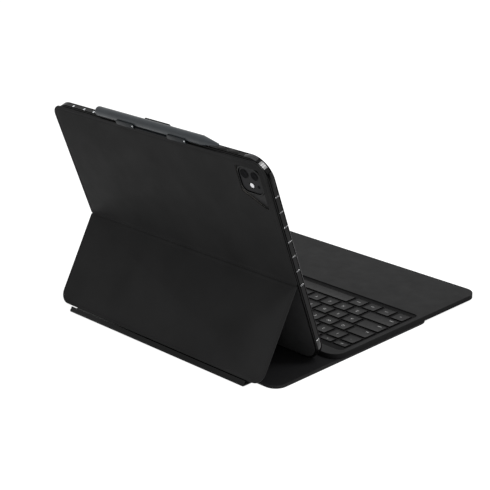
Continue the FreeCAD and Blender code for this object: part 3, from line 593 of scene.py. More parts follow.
class CASE_OT_finishes(bpy.types.Operator):
    """Mixes the finishes and gives the CAD nodes theirs."""
    bl_idname = "case.finishes"
    bl_label = "Finishes"

    def execute(self, context):
        tone = colours()
        soft_touch("soft_cover", tone.soft, 0.58, 0.35, 0.031)
        # The turned edge is a darker copy of the soft cover, a painted shade on the covers' rims
        # and the spine strip.
        soft_touch("shade_painted_cover", tone.edge, 0.5, 0.2)
        # The fold cloth is a slightly darker copy of the soft cover: a painted shade along the
        # crease.
        soft_touch("fold_cloth", shade(tone.soft, 0.9), 0.6, 0.3, 0.04)
        soft_touch("palm_skin", tone.palm, 0.5, 0.16, 0.078)
        moulded("deck_plastic", shade(tone.palm, 0.7), 0.7, 0.05)
        # Key sides are near black: a painted shade for the gaps between keys.
        moulded("key_gap_shade", (0.0012, 0.0012, 0.0012), 0.7, 0.01)
        moulded("key_plastic", tone.keys, 0.36, 0.07)
        moulded("soft_rubber", (0.02, 0.02, 0.02), 0.75, 0.3)
        moulded("legend_paint", tone.legend, 0.5)
        woven("microfibre", (0.0062, 0.0062, 0.0066))
        pressed("fibre_board", (0.06, 0.055, 0.05))
        brushed("plated_steel", (0.45, 0.45, 0.46), 0.3)
        brushed("dark_steel", (0.05, 0.05, 0.053), 0.36)
        brushed("dark_metal", tone.metal, 0.38, (600.0, 600.0, 600.0))
        lacquered("green_lacquer", (0.01, 0.06, 0.03))
        # clear_guide also colours the bumper studs and the clip lugs near white, as painted
        # highlights.
        lit("clear_guide", (0.75, 0.78, 0.8))
        smoked("smoked_plastic", tone.smoke, 0.04, 0.03, 0.1)
        smoked("smoked_pad", shade(tone.smoke, 0.6), 0.04, 0.16, 0.12)
        smoked("smoked_corner", tone.smoke, 0.04, 0.015, 0.5)
        # The ribs' finish is far paler than the bumper and strongly specular: real gloss plus a
        # painted highlight for glints.
        smoked("glint_rib", (0.10, 0.10, 0.105), 0.3, 0.04, 0.9)
        moulded("tray_plastic", (0.022, 0.022, 0.0225), 0.5, 0.05)
        smoked("clip_plastic", (0.012, 0.0135, 0.015), 0.02, 0.35, 0.08)
        # The groove finish is near black: a painted shade inside the bumper's grooves.
        moulded("groove_shade", (0.0009, 0.0009, 0.0009), 0.9, 0.0)
        moulded("lens_rim", (0.0012, 0.0012, 0.0015), 0.4, 0.03)
        lit("flash_lens", (0.92, 0.92, 0.95))
        glassy("screen_glass", (0.006, 0.006, 0.007), 0.06, 0.0, 0.3)
        glassy("display_area", (0.0035, 0.0035, 0.0042), 0.05, 0.0, 0.22)
        glassy("camera_glass", (0.0150, 0.0150, 0.0160), 0.55, 0.0, 0.08)
        glassy("lens_glass", (0.0008, 0.0008, 0.0015), 0.05, 0.0, 0.02)
        moulded("slate_shell", tone.slate, 0.36, 0.26)
        for finish, nodes in NODE_FINISHES.items():
            for node in nodes:
                mesh = frame["nodes"][node].data
                mesh.materials.clear()
                mesh.materials.append(surface(finish))
        return {"FINISHED"}


# --------------------------------------------------------------------------- covers
def covered_panel(name, low, high, skin_up):
    """A board wrapped in soft cover, with a turned rim, a pressed line and a pocket inside.

    The line is pressed into the skin, and the pocket for the board lies on the other side.
    """
    size = sizes()
    piece = slab(name, low, high, size.panel_corner, (COVER_RIM, COVER_RIM), rear_only=True)
    # The rim faces take the darker edge tone, a painted shade on the turned rim.
    two_tone(piece, "soft_cover", "shade_painted_cover", is_rim)
    up, down = (0, 0, 1), (0, 0, -1)
    skin, inside = ((up, high[2]), (down, low[2])) if skin_up else ((down, low[2]), (up, high[2]))
    edit(piece, "FACE", facing(*skin), inset(size.welt), inset(WELT_WIDE, -WELT_DEEP),
         inset(WELT_WIDE, WELT_DEEP))
    return edit(piece, "FACE", facing(*inside), inset(POCKET_EDGE),
                sink((0, 0, -inside[0][2] * POCKET_DEEP)))


def camera_window():
    """A cutter for the camera cut-out, whose lower edge runs down at a slant."""
    inner, outer, top = -106.2 * MM, -134.4 * MM, 210.1 * MM
    foot = top - 27.3 * MM
    slant = 14.0 * MM
    cutter = block("window_cutter", (outer, foot - slant, -2 * MM), (inner, top, 4 * MM))
    for vertex in cutter.data.vertices:
        if vertex.co.y < foot and vertex.co.x > (inner + outer) / 2:
            vertex.co.y = foot
    return edit(cutter, "EDGE", upright, bevel(2.6 * MM, 8))


class CASE_OT_covers(bpy.types.Operator):
    """Makes the upper back panel, the kickstand leg and the fold between them."""
    bl_idname = "case.covers"
    bl_label = "Back panel and leg"

    def execute(self, context):
        size = sizes()
        half = size.panel_width / 2
        low = (-half, size.panel_foot, 0.0)
        high = (half, size.panel_high, size.panel_thick)
        back = covered_panel("back_cover", low, high, skin_up=False)
        cut_out(back, camera_window())
        fitted(back, "tray", None, "cover_soft", "back_panel_cover")

        thick = size.panel_thick / 2
        low, high = (-half, 1.0 * MM, -thick), (half, size.leg_long, thick)
        leg = covered_panel("leg_cover_skin", low, high, skin_up=True)
        settle(leg, leg_place())
        finished(leg, "leg", None, "cover_soft", "leg_cover")

        self.fold(half - 0.8 * MM)
        return {"FINISHED"}

    def fold(self, half):
        """The thin cloth that carries the cover over the fold line."""
        size = sizes()
        tray, leg = tray_place(), leg_place()
        upper = [tray @ Vector((0, size.panel_foot + step * MM, 0.5 * MM))
                 for step in (0.4, -0.1)]
        lower = [leg @ Vector((0, step * MM, 0.35 * MM)) for step in (0.9, 1.4)]
        middle = (upper[1] + lower[0]) / 2 + Vector((0, -0.25 * MM, 0))
        strip = ribbon("fold_cloth_strip", [*upper, middle, *lower], half, 0.5 * MM)
        # Its finish is a slightly darker copy of the soft cover, a painted shade along the fold.
        strip.data.materials.append(surface("fold_cloth"))
        soften(strip, 60.0)
        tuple(upper[1])
        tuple(lower[0])
        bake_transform(strip)
        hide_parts("fold_bead")


def ribbon(name, line, half, thick, smooth=2):
    """A strip of cloth that follows a line in the YZ plane, made by drawing out an edge."""
    bpy.ops.object.select_all(action="DESELECT")
    bpy.ops.mesh.primitive_plane_add(size=1, location=(0, 0, 0))
    bpy.context.tool_settings.mesh_select_mode = (True, False, False)
    strip = whole(named(name), lambda: bpy.ops.mesh.delete(type="ONLY_FACE"))
    edit(strip, "EDGE", lambda a, b: a.y > 0 or b.y > 0,
         lambda: bpy.ops.mesh.delete(type="EDGE"))
    for vertex in strip.data.vertices:
        vertex.co = Vector((half if vertex.co.x > 0 else -half, line[0].y, line[0].z))
        vertex.select = True
    for edge in strip.data.edges:
        edge.select = True
    only(strip)
    bpy.context.tool_settings.mesh_select_mode = (False, True, False)
    bpy.ops.object.mode_set(mode="EDIT")
    for start, end in zip(line, line[1:]):
        bpy.ops.mesh.extrude_region_move(
            TRANSFORM_OT_translate={"value": (0, end.y - start.y, end.z - start.z)})
    bpy.ops.object.mode_set(mode="OBJECT")
    modify(strip, "SOLIDIFY", thickness=thick, offset=0.0, use_even_offset=True)
    modify(strip, "BEVEL", width=thick * 0.3, segments=2, limit_method="ANGLE",
           angle_limit=math.radians(60))
    return whole(strip, lambda: bpy.ops.mesh.normals_make_consistent(inside=False))


class CASE_OT_base(bpy.types.Operator):
    """Makes the base sheet's wrapped cover and the spine strip behind it."""
    bl_idname = "case.base"
    bl_label = "Base and spine"

    def execute(self, context):
        size = sizes()
        half = size.base_width / 2
        low = (-half, -size.base_front, 0.0)
        high = (half, size.base_rear, size.base_thick)
        cover = slab("base_wrap", low, high, size.base_corner, (0.6 * MM, 0.9 * MM))
        # The base's rim faces take the darker edge tone, a painted shade.
        two_tone(cover, "soft_cover", "shade_painted_cover", is_rim)
        edit(cover, "FACE", facing((0, 0, 1), size.base_thick), inset(1.1 * MM),
             sink((0, 0, -1.8 * MM)))
        notch_half, notch_front = 124.0 * MM, 59.3 * MM
        cut_out(cover, block("notch_cutter", (-notch_half, notch_front, -1 * MM),
                             (notch_half, 70 * MM, 5 * MM)))
        grip_half, grip_wide, grip_deep = 115.0 * MM, 8.0 * MM, 0.5 * MM
        for grip_front in (-130.0 * MM, 34.5 * MM):
            cut_out(cover, block("grip_cutter", (-grip_half, grip_front, -grip_deep),
                                 (grip_half, grip_front + grip_wide, grip_deep)))
        finished(cover, "base", None, "cover_soft", "base_cover")

        low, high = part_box("spine_strip")
        leg = leg_place()
        thick = 1.4 * MM
        middle = low.z + thick / 2
        top, foot = (leg @ Vector((0, along, 0.2 * MM)) for along in (94.9 * MM, 99.6 * MM))
        line = [Vector((0, low.y + 0.2 * MM, middle)), Vector((0, 66 * MM, middle)),
                Vector((0, 72 * MM, middle)), Vector((0, foot.y - 0.9 * MM, middle)),
                Vector((0, foot.y - 0.15 * MM, middle + 0.25 * MM)),
                foot + Vector((0, 0, 0.9 * MM)), (foot + top) / 2, top]
        strip = ribbon("spine_wrap", line, 122.0 * MM, thick)
        # The spine strip takes the darker edge tone, a painted shade.
        strip.data.materials.append(surface("shade_painted_cover"))
        finished(strip, "spine", None, "fold_cloth", "spine_strip", degrees=60.0)
        return {"FINISHED"}


# --------------------------------------------------------------------------- keys
# Rows from the front: the row's distance in pitches, then node, width in pitches and legend.
# The top row's keys are short, so it lies closer to the row before it.
TOP_ROW = 4.0 + 14.4 / 17.9
TOP_ROW_LONG = 8.6 * MM
ROWS_LEFT = -8.0
KEY_ROWS = [
    (0.0, [("globe_key", 1, "fn"), ("control_key", 1, "ctrl"), ("option_key", 1, "opt"),
           ("command_key", 1, "cmd"), ("space_bar", 6, ""), ("right_command_keys", 1, "cmd"),
           ("right_command_keys", 1, "opt"), ("right_command_keys", 1, "ctrl"),
           ("arrow_keys", 1, "<"), ("arrow_keys", 1, "v"), ("arrow_keys", 1, ">")]),
    (1.0, [("left_shift_key", 2.25, "shift")]
     + [("lower_letter_keys", 1, letter) for letter in "ZXCVBNM,./"]
     + [("right_shift_key", 1.75, "shift"), ("arrow_keys", 1, "^"), ("page_keys", 1, "end")]),
    (2.0, [("caps_key", 1.75, "caps")]
     + [("home_letter_keys", 1, letter) for letter in "ASDFGHJKL;'"]
     + [("enter_key", 2.25, "enter"), ("page_keys", 1, "pgdn")]),
    (3.0, [("tab_key", 1.5, "tab")]
     + [("upper_letter_keys", 1, letter) for letter in "QWERTYUIOP[]\\"]
     + [("page_keys", 1.5, "pgup")]),
    (4.0, [("number_keys", 1, sign) for sign in "`1234567890-="]
     + [("backspace_key", 2, "delete"), ("page_keys", 1, "home")]),
    (TOP_ROW, [("escape_key", 1, "esc")]
     + [("function_keys", 1, "f%d" % number) for number in range(1, 13)]
     + [("function_keys", 1, sign) for sign in ("-", "+", "lock")]),
]


def key_spots():
    """Gives each key's node, legend, middle, width and length."""
    size = sizes()
    for row, keys in KEY_ROWS:
        left = ROWS_LEFT
        for node, units, legend in keys:
            middle = Vector(((left + units / 2) * size.key_pitch,
                             -size.front_row + row * size.key_pitch, size.key_top))
            long = TOP_ROW_LONG if row == TOP_ROW else size.key_pitch - size.key_gap
            yield node, legend, middle, units * size.key_pitch - size.key_gap, long
            left += units


class CASE_OT_keys(bpy.types.Operator):
    """Models the key caps, each with rounded sides and a hollowed face."""
    bl_idname = "case.keys"
    bl_label = "Key caps"

    def execute(self, context):
        groups, blanks = {}, {}
        for node, legend, middle, width, long in key_spots():
            kind = (round(width, 6), round(long, 6))
            if kind not in blanks:
                blanks[kind] = self.cap(width, long)
            groups.setdefault(node, []).append(doubled(blanks[kind], middle))
        for blank in blanks.values():
            bpy.data.objects.remove(blank)
        for node, caps in groups.items():
            finished(joined(node.replace("_key", "_cap"), caps), node, None, "keycap", node,
                     degrees=38.0)
        return {"FINISHED"}

    def cap(self, width, long):
        size = sizes()
        x, y = width / 2, long / 2
        cap = block("cap_blank", (-x, -y, -size.key_high), (x, y, 0))
        edit(cap, "EDGE", upright, bevel(1.5 * MM, 5))
        edit(cap, "EDGE", at_level(0.0), bevel(0.42 * MM, 3))
        edit(cap, "FACE", facing((0, 0, 1), 0.0), inset(0.3 * MM, 0.0),
             inset(0.4 * MM, -size.key_dish * 0.7), inset(0.3 * MM, -size.key_dish * 0.3))
        # The sides and rim bevel take the near-black side finish, a painted shade in the gaps
        # between keys.
        two_tone(cap, "key_plastic", "key_gap_shade", lambda side: side.normal.z <= 0.97)
        return cap


class CASE_OT_legends(bpy.types.Operator):
    """Prints the plain letters and signs on the keys."""
    bl_idname = "case.legends"
    bl_label = "Key legends"

    def execute(self, context):
        groups = {}
        for node, legend, middle, width, long in key_spots():
            if not legend:
                continue
            level = middle.z - sizes().key_dish + 0.03 * MM
            if legend in "<>^v" and node == "arrow_keys":
                mark = self.arrow(legend, middle.xy, level)
            else:
                mark = self.letters(legend, middle, width, long, level)
            groups.setdefault(node, []).append(mark)
        for node, marks in groups.items():
            legend = joined(node.replace("_key", "_legend"), marks)
            finished(legend, node, "legend_paint", "keycap")
        return {"FINISHED"}

    def letters(self, legend, middle, width, long, level):
        """A legend in the middle of its key, or in the outer corner of a wide one."""
        letter_high, word_high, top_row_high = 4.4 * MM, 2.7 * MM, 2.5 * MM
        wide_key, from_end, from_front = 22 * MM, 7.5 * MM, 4.2 * MM
        single = len(legend) == 1
        high = letter_high if single else word_high
        if long == TOP_ROW_LONG:
            high = top_row_high
        shift = Vector((0, 0, 0))
        if not single and width > wide_key:
            side = 1 if middle.x > 0 else -1
            shift = Vector((side * (width / 2 - from_end), -long / 2 + from_front, 0))
        bpy.ops.object.select_all(action="DESELECT")
        bpy.ops.object.text_add(location=(middle.x + shift.x, middle.y + shift.y, level))
        text = bpy.context.object
        text.data.body = legend
        text.data.size = high
        text.data.align_x = "CENTER"
        text.data.align_y = "CENTER"
        text.data.extrude = 0.02 * MM
        text.data.resolution_u = 3
        only(text)
        bpy.ops.object.convert(target="MESH")
        return settle(bpy.context.object)

    def arrow(self, sign, spot, level):
        turn = {"^": 90, "v": -90, "<": 180, ">": 0}[sign]
        mark = disc("arrow_mark", 1.5 * MM, 0.04 * MM, (0, 0, 0), 3,
                    (0, 0, math.radians(turn - 90)))
        return settle(mark, Matrix.Translation((spot.x, spot.y, level)))


# --------------------------------------------------------------------------- tray
class CASE_OT_bumper(bpy.types.Operator):
    """Makes the smoked bumper: its ring, its ribs, its studs and its corner cushions."""
    bl_idname = "case.bumper"
    bl_label = "Bumper"

    def execute(self, context):
        size = sizes()
        wall, corner = size.bumper_wall, size.tablet_corner
        half = size.tablet_width / 2
        foot, head = size.tablet_foot, size.tablet_foot + size.tablet_high
        low = (-half - wall, foot - wall, size.panel_thick)
        high = (half + wall, head + wall, size.bumper_front)
        ring = slab("bumper_ring", low, high, corner + wall, (0.9 * MM, 0.9 * MM))
        gap = SEAT_GAP
        hole = slab("ring_cutter", (-half - gap, foot - gap, 0.0),
                    (half + gap, head + gap, 20 * MM), corner + gap)
        cut_out(ring, hole)
        under, over = PAD_LEVEL - gap, PAD_LEVEL + PAD_HIGH + gap
        reach = PAD_LONG / 2 + gap
        for middle in VOLUME_PADS.values():
            cut_out(ring, block("pad_cutter", (middle - reach, head - 0.5 * MM, under),
                                (middle + reach, head + 6 * MM, over)))
        cut_out(ring, block("power_cutter", (-half - 6 * MM, POWER_PAD[0] - gap, under),
                            (-half + 0.2 * MM, POWER_PAD[1] + gap, over)))
        cut_out(ring, block("socket_cutter", (half - 0.2 * MM, SOCKET[0], 4.05 * MM),
                            (half + 6 * MM, SOCKET[1], 7.65 * MM)))
        ring.data.materials.append(surface("smoked_plastic"))
        ring.data.materials.append(surface("groove_shade"))
        # The faces in each groove band take the near-black groove finish, a painted shade in the
        # recess.
        groove_deep = 0.7 * MM
        for lower, upper in ((2.5 * MM, 3.4 * MM), (7.6 * MM, 8.4 * MM)):
            cut_out(ring, self.band(low, high, corner + wall, lower, upper, groove_deep))
            for side in ring.data.polygons:
                if lower - NEAR < side.center.z < upper + NEAR:
                    side.material_index = 1
        fitted(ring, "tray", None, "smoke_clear", "bumper_frame")

        self.ribs(half + wall, foot, head, wall)
        self.studs(head + wall)
        self.cushions(half, foot, head, corner, wall)
        return {"FINISHED"}

    def band(self, low, high, corner, lower, upper, depth):
        """A cutter that runs round the bumper and cuts a groove in its outer wall."""
        out = 1.0 * MM
        outer = slab("groove_cutter", (low[0] - out, low[1] - out, lower),
                     (high[0] + out, high[1] + out, upper), corner + out)
        inner = slab("groove_core", (low[0] + depth, low[1] + depth, lower - MM),
                     (high[0] - depth, high[1] - depth, upper + MM), corner - depth)
        return cut_out(outer, inner)

    def bar(self, name, half, lower, upper, rounding):
        """A small upright bar as it stands on an upper edge, before it is moved there."""
        bar = block(name, (-half, -0.8 * MM, lower), (half, 0.38 * MM, upper))
        return edit(bar, "EDGE", lambda a, b: a.y > 0 and b.y > 0, bevel(rounding, 3))

    def ribs(self, side, foot, head, wall):
        """Small upright bars along the bumper's sides and its lower and upper edges; their pale
        tone is a painted highlight.
        """
        step = sizes().rib_step
        blank = self.bar("rib_blank", 0.6 * MM, 3.4 * MM, 7.7 * MM, 0.34 * MM)
        clear_of_corner, lower_reach = 22 * MM, 118 * MM
        places = []
        for spot in (8.4 * MM + step * index for index in range(14)):
            if foot + clear_of_corner < spot < head - clear_of_corner:
                for sign in (-1, 1):
                    plain = 30 * MM < spot < 80 * MM
                    socket = sign > 0 and 98 * MM < spot < 120 * MM
                    if not plain and not socket:
                        places.append((sign * side, spot, -90 * sign))
        for spot in (step * index for index in range(-7, 8)):
            if abs(spot) < lower_reach:
                places.append((spot, foot - wall, 180))
        places.append((-74.0 * MM, head + wall, 0))
        ribs = [settle(doubled(blank, (0, 0, 0)), Matrix.Translation((x, y, 0))
                       @ Matrix.Rotation(math.radians(turn), 4, "Z")) for x, y, turn in places]
        bpy.data.objects.remove(blank)
        fitted(joined("bumper_ribs", ribs), "tray", "glint_rib", "smoke_clear")

    def studs(self, edge):
        """Three clear studs on the bumper's upper edge; their near-white tone is a painted
        highlight.
        """
        blank = self.bar("stud_blank", 0.9 * MM, 3.7 * MM, 5.9 * MM, 0.36 * MM)
        studs = [doubled(blank, (spot * MM, edge, 0)) for spot in (112.6, 96.5, 82.5)]
        bpy.data.objects.remove(blank)
        fitted(joined("bumper_glint_studs", studs), "tray", "clear_guide", "smoke_clear")

    def cushions(self, half, foot, head, corner, wall):
        """A padded bead round each corner, swept by spinning its section."""
        made = []
        radius = corner + wall
        arc, lead = 42, 24
        proud, tall, level = 0.7 * MM, 2.3 * MM, 5.5 * MM
        for quarter, (sign, top) in enumerate(((1, True), (-1, True), (-1, False), (1, False))):
            x = sign * (half - corner)
            y = head - corner if top else foot + corner
            bpy.ops.object.select_all(action="DESELECT")
            bpy.ops.mesh.primitive_circle_add(vertices=16, radius=1.0, fill_type="NGON",
                                              rotation=(math.pi / 2, 0, 0))
            section = named("cushion_section")
            settle(section)
            for vertex in section.data.vertices:
                vertex.co = Vector((radius + proud * vertex.co.x, 0,
                                    level + tall * vertex.co.z))
            edit(section, "FACE", lambda centre, normal: True,
                 lambda: bpy.ops.mesh.spin(steps=18, angle=math.radians(arc),
                                           center=(0, 0, 0), axis=(0, 0, 1),
                                           dupli=False, use_normal_flip=False))
            whole(section, lambda: bpy.ops.mesh.remove_doubles(threshold=NEAR / 2),
                  lambda: bpy.ops.mesh.normals_make_consistent(inside=False))
            made.append(settle(section, Matrix.Translation((x, y, 0))
                               @ Matrix.Rotation(math.radians(90 * quarter + lead), 4, "Z")))
        fitted(joined("corner_pads", made), "tray", "smoked_corner", "smoke_clear",
               "corner_cushions", degrees=50.0)


class CASE_OT_buttons(bpy.types.Operator):
    """Makes the volume pads and the power pad."""
    bl_idname = "case.buttons"
    bl_label = "Buttons"

    def execute(self, context):
        size = sizes()
        head = size.tablet_foot + size.tablet_high + size.bumper_wall + PAD_PROUD
        side = -size.tablet_width / 2 - size.bumper_wall - PAD_PROUD
        deep = 2 * MM
        for body, middle in VOLUME_PADS.items():
            self.pad(body, body + "_pad", (middle - PAD_LONG / 2, head - deep),
                     (middle + PAD_LONG / 2, head), lambda spot: spot.y > head - NEAR)
        self.pad("power_button", "power_pad", (side, POWER_PAD[0]),
                 (side + deep, POWER_PAD[1]), lambda spot: spot.x < side + NEAR)
        return {"FINISHED"}

    def pad(self, body, node, low, high, outside):
        """A pad with the edges of its outer face rounded."""
        pad = block(node + "_face", (*low, PAD_LEVEL), (*high, PAD_LEVEL + PAD_HIGH))
        edit(pad, "EDGE", lambda a, b: outside(a) or outside(b), bevel(0.35 * MM, 3))
        fitted(pad, body, "smoked_pad", "pad", node)


class CASE_OT_camera(bpy.types.Operator):
    """Makes the camera plate, its lenses and the soft rim round them."""
    bl_idname = "case.camera"
    bl_label = "Camera"

    def execute(self, context):
        plate = self.square("camera_deck", CAMERA_HALF, 1.3 * MM, TABLET_BACK, 6.5 * MM,
                            (0.45 * MM, 0.0))
        fitted(plate, "tablet", "camera_glass", "camera_glass", "camera_plate")

        rings, glasses = [], []
        for shift, rise, radius, flash in LENSES:
            x, y, radius = CAMERA[0] + shift * MM, CAMERA[1] + rise * MM, radius * MM
            rings.append(self.lens("lens_ring", radius, (x, y, 1.12 * MM), 0.36 * MM,
                                   inset(0.12 * radius), inset(0.08 * radius, -0.2 * MM)))
            glass = self.lens("flash_face" if flash else "lens_face", 0.8 * radius,
                              (x, y, 1.16 * MM), 0.2 * MM, inset(0.3 * radius, 0.05 * MM),
                              inset(0.2 * radius, -0.08 * MM))
            if flash:
                fitted(glass, "tablet", "flash_lens", "lens")
            else:
                glasses.append(glass)
        fitted(joined("lens_rings", rings), "tablet", "lens_rim", "lens", "camera_lenses")
        fitted(joined("lens_faces", glasses), "tablet", "lens_glass", "lens")

        rim = self.square("camera_collar", CAMERA_HALF + 1.6 * MM, 0.5 * MM, 1.8 * MM,
                          8.1 * MM, (0.4 * MM, 0.0))
        cut_out(rim, self.square("collar_cutter", CAMERA_HALF + 0.4 * MM, -1 * MM, 4 * MM,
                                 6.9 * MM))
        fitted(rim, "tray", "smoked_pad", "pad", "camera_rim")
        return {"FINISHED"}

    def square(self, name, half, low, high, corner, rims=(0.0, 0.0)):
        """A rounded square about the camera's middle."""
        x, y = CAMERA
        return slab(name, (x - half, y - half, low), (x + half, y + half, high), corner, rims)

    def lens(self, name, radius, centre, thick, *steps):
        """A disc whose outer face, which looks backwards, is shaped by the steps."""
        piece = disc(name, radius, thick, centre, 48, (math.pi, 0, 0))
        return edit(piece, "FACE", facing((0, 0, -1), centre[2] - thick / 2), *steps)


class CASE_OT_stylus(bpy.types.Operator):
    """Turns the stylus: a barrel with a rounded end, and a tapered tip."""
    bl_idname = "case.stylus"
    bl_label = "Stylus"

    def execute(self, context):
        size = sizes()
        radius = size.stylus_radius
        right = STYLUS_RIGHT
        left = right - size.stylus_long
        centre = Vector(((right + left) / 2, size.stylus_high, size.stylus_deep))
        barrel = disc("stylus_body", radius, size.stylus_long, centre, 64,
                      (0, math.pi / 2, 0))
        edit(barrel, "EDGE", lambda a, b: a.x > right - NEAR and b.x > right - NEAR,
             bevel(2.6 * MM, 8))
        self.flatten(barrel, centre, radius)
        fitted(barrel, "stylus", "slate_shell", "stylus_shell", "stylus_barrel", degrees=25.0)

        bpy.ops.object.select_all(action="DESELECT")
        end = left - size.tip_long
        bpy.ops.mesh.primitive_cone_add(vertices=64, radius1=radius, radius2=radius * 0.24,
                                        depth=size.tip_long, rotation=(0, -math.pi / 2, 0),
                                        location=((left + end) / 2, centre.y, centre.z))
        tip = settle(named("stylus_point"))
        edit(tip, "EDGE", lambda a, b: a.x < end + NEAR and b.x < end + NEAR,
             bevel(0.7 * MM, 5))
        self.flatten(tip, centre, radius)
        fitted(tip, "stylus", "slate_shell", "stylus_shell", "stylus_tip", degrees=25.0)
        return {"FINISHED"}

    def flatten(self, piece, centre, radius):
        """Gives the stylus its flat side, turned to the bumper."""
        level = centre.y - STYLUS_FLAT * radius
        for vertex in piece.data.vertices:
            vertex.co.y = max(vertex.co.y, level)


class CASE_OT_clip(bpy.types.Operator):
    """Makes the smoked clip that holds the stylus on the tray's edge."""
    bl_idname = "case.clip"
    bl_label = "Stylus clip"

    def execute(self, context):
        foot, centre, level = 218.9 * MM, sizes().stylus_high, sizes().stylus_deep
        radius = sizes().stylus_radius
        thick, saddle, rise = 1.2 * MM, 0.5 * MM, 2.4 * MM
        gap = radius + SEAT_GAP
        parts = [block("clip_saddle", (-51.6 * MM, foot, level - radius),
                       (41.4 * MM, foot + saddle, level + radius))]
        glint_lugs = []
        for rear, middle, wide in ((True, 29.4 * MM, 24.0 * MM), (False, -5.5 * MM, 34.0 * MM),
                                   (True, -39.6 * MM, 24.0 * MM)):
            left, right = middle - wide / 2, middle + wide / 2
            low = level - gap - thick if rear else level + gap
            top = centre if rear else centre + rise
            tab = block("clip_tab", (left, foot, low), (right, top, low + thick))
            edit(tab, "EDGE", lambda a, b: a.y > top - NEAR and b.y > top - NEAR
                 and abs(a.x - b.x) < NEAR, bevel(1.6 * MM, 5))
            root = low if rear else level
            parts += [tab, block("clip_root", (left, foot, root),
                                 (right, foot + saddle, root + gap + thick))]
            # Each rear tab gets a small lug in the near-white clear finish: a painted glint.
            if rear:
                glint_lugs.append(block("clip_lug",
                                  (left + 0.4 * MM, centre - 2.6 * MM, low - 0.25 * MM),
                                  (left + 1.8 * MM, centre - 1.2 * MM, low + 0.3 * MM)))
        glint_lugs = self.eased(joined("clip_glint_lugs", glint_lugs), 0.2 * MM)
        fitted(glint_lugs, "tray", "clear_guide", "smoke_clear")
        holder = self.eased(joined("stylus_clip", parts), 0.15 * MM)
        fitted(holder, "tray", "clip_plastic", "smoke_clear", "stylus_holder")
        return {"FINISHED"}

    def eased(self, piece, width):
        """Takes the sharpness off a piece's edges."""
        return modify(piece, "BEVEL", width=width, segments=2, limit_method="ANGLE",
                      angle_limit=math.radians(50))


class CASE_OT_tablet(bpy.types.Operator):
    """Makes the tablet's housing and its glass front."""
    bl_idname = "case.tablet"
    bl_label = "Tablet"

    def execute(self, context):
        size = sizes()
        half, foot = size.tablet_width / 2, size.tablet_foot
        low = (-half, foot, TABLET_BACK)
        high = (half, foot + size.tablet_high, TABLET_FRONT)
        front = facing((0, 0, 1), TABLET_FRONT)
        shell = slab("tablet_shell", low, high, size.tablet_corner, (0.6 * MM, 0.4 * MM))
        edit(shell, "FACE", front, inset(0.8 * MM), sink((0, 0, -0.7 * MM)))
        fitted(shell, "tablet", "dark_metal", "tablet_metal", "tablet_housing")

        edge, border, screen_area = 1.2 * MM, 7.6 * MM, 0.04
        glass = slab("screen_face", (-half + edge, foot + edge, 8.1 * MM),
                     (half - edge, foot + size.tablet_high - edge, TABLET_FRONT),
                     size.tablet_corner - edge, (0.0, 0.25 * MM), steps=3)
        edit(glass, "FACE", front, inset(border))
        two_tone(glass, "screen_glass", "display_area",
                 lambda side: side.normal.z > 0.99 and side.area > screen_area)
        fitted(glass, "tablet", None, "screen", "tablet_screen")
        return {"FINISHED"}


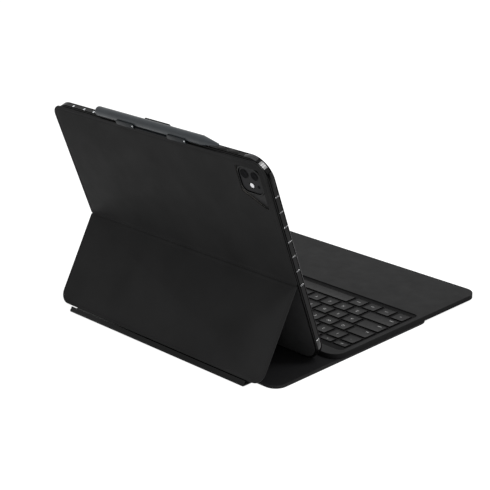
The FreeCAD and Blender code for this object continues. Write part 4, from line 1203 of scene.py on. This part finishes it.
# --------------------------------------------------------------------------- stage
class CASE_OT_stage(bpy.types.Operator):
    """Sets the pale floor, the soft studio lights and the camera."""
    bl_idname = "case.stage"
    bl_label = "Stage"

    def execute(self, context):
        bpy.ops.object.select_all(action="DESELECT")
        bpy.ops.mesh.primitive_plane_add(size=12.0, location=(0, 0, 0))
        floor = named("pale_floor")
        finish = Finish("pale_floor")
        finish.tones(finish.noise(3.0, 2.0), (0.20, 0.20, 0.20), (0.22, 0.22, 0.22))
        finish.shine(finish.noise(9.0, 2.0), 0.85, 0.95)
        finish.set(Specular_IOR_Level=0.1, Emission_Color=(1.0, 1.0, 1.0, 1.0),
                   Emission_Strength=0.9)
        floor.data.materials.append(finish.material)

        world = bpy.data.worlds.new("studio")
        bpy.context.scene.world = world
        world.use_nodes = True
        world.node_tree.nodes["Background"].inputs["Color"].default_value = (1, 1, 1, 1)
        world.node_tree.nodes["Background"].inputs["Strength"].default_value = 0.88
        self.light("ceiling_light", (-0.1, 0.5, 1.9), 1.6, 4.0)
        self.light("right_light", (-1.7, -0.2, 1.1), 0.7, 3.0)
        self.light("back_light", (-1.5, 1.5, 0.9), 0.3, 5.0)
        for name, spot in (("upper_strip", (-0.66, -0.32, 1.57)),
                           ("middle_strip", (-0.88, -0.37, 1.43)),
                           ("lower_strip", (-1.06, -0.42, 1.28))):
            self.light(name, spot, 0.14, 6.0, 0.4)
        bpy.context.scene.view_settings.view_transform = "Standard"
        self.camera()
        return {"FINISHED"}

    def light(self, name, spot, wide, power, long=None):
        bpy.ops.object.light_add(type="AREA", location=spot)
        lamp = bpy.context.object
        lamp.name = name
        lamp.data.shape = "RECTANGLE"
        lamp.data.size = wide
        lamp.data.size_y = long or wide
        lamp.data.energy = power
        aim = Vector((0, 0, 0.08)) - Vector(spot)
        lamp.rotation_euler = aim.to_track_quat("-Z", "Y").to_euler()

    def camera(self):
        """A long lens behind the case and a little above it, held almost level."""
        azimuth, rise, roll = (math.radians(degrees) for degrees in (225.393, 20.529, -0.578))
        distance, focal = 1.411007, 107.47
        target = Vector((-0.016391, -0.030746, 0.077472))
        back = Vector((math.sin(azimuth) * math.cos(rise), -math.cos(azimuth) * math.cos(rise),
                       math.sin(rise)))
        right = Vector((0, 0, 1)).cross(back).normalized()
        up = back.cross(right)
        right, up = (math.cos(roll) * right + math.sin(roll) * up,
                     math.cos(roll) * up - math.sin(roll) * right)
        bpy.ops.object.camera_add(location=target + distance * back)
        camera = bpy.context.object
        camera.name = "studio_camera"
        camera.data.sensor_width = 36.0
        camera.data.lens = focal
        camera.data.clip_end = 50.0
        camera.rotation_euler = Matrix((right, up, back)).transposed().to_euler()
        bpy.context.scene.camera = camera


class CASE_PT_panel(bpy.types.Panel):
    """Lists the case's pieces, sizes and colours in the sidebar."""
    bl_idname = "CASE_PT_panel"
    bl_label = "Tablet Keyboard Case"
    bl_space_type = "VIEW_3D"
    bl_region_type = "UI"
    bl_category = "Case"

    def draw(self, context):
        layout = self.layout
        for group in (context.scene.case_sizes, context.scene.case_colours):
            box = layout.box()
            for name in group.__annotations__:
                box.prop(group, name)
        for operator in OPERATORS:
            layout.operator(operator.bl_idname)


OPERATORS = (CASE_OT_finishes, CASE_OT_covers, CASE_OT_base, CASE_OT_keys, CASE_OT_legends,
             CASE_OT_bumper, CASE_OT_buttons, CASE_OT_camera, CASE_OT_stylus,
             CASE_OT_clip, CASE_OT_tablet, CASE_OT_stage)
CLASSES = (CaseSizes, CaseColours, *OPERATORS, CASE_PT_panel)


def register():
    for item in CLASSES:
        bpy.utils.register_class(item)
    bpy.types.Scene.case_sizes = PointerProperty(type=CaseSizes)
    bpy.types.Scene.case_colours = PointerProperty(type=CaseColours)


def unregister():
    del bpy.types.Scene.case_colours
    del bpy.types.Scene.case_sizes
    for item in reversed(CLASSES):
        bpy.utils.unregister_class(item)


def main():
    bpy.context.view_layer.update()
    register()
    bpy.ops.case.finishes()
    bpy.ops.case.covers()
    bpy.ops.case.base()
    bpy.ops.case.keys()
    bpy.ops.case.legends()
    bpy.ops.case.bumper()
    bpy.ops.case.buttons()
    bpy.ops.case.camera()
    bpy.ops.case.stylus()
    bpy.ops.case.clip()
    bpy.ops.case.tablet()
    bpy.ops.case.stage()


if __name__ == "__main__":
    main()
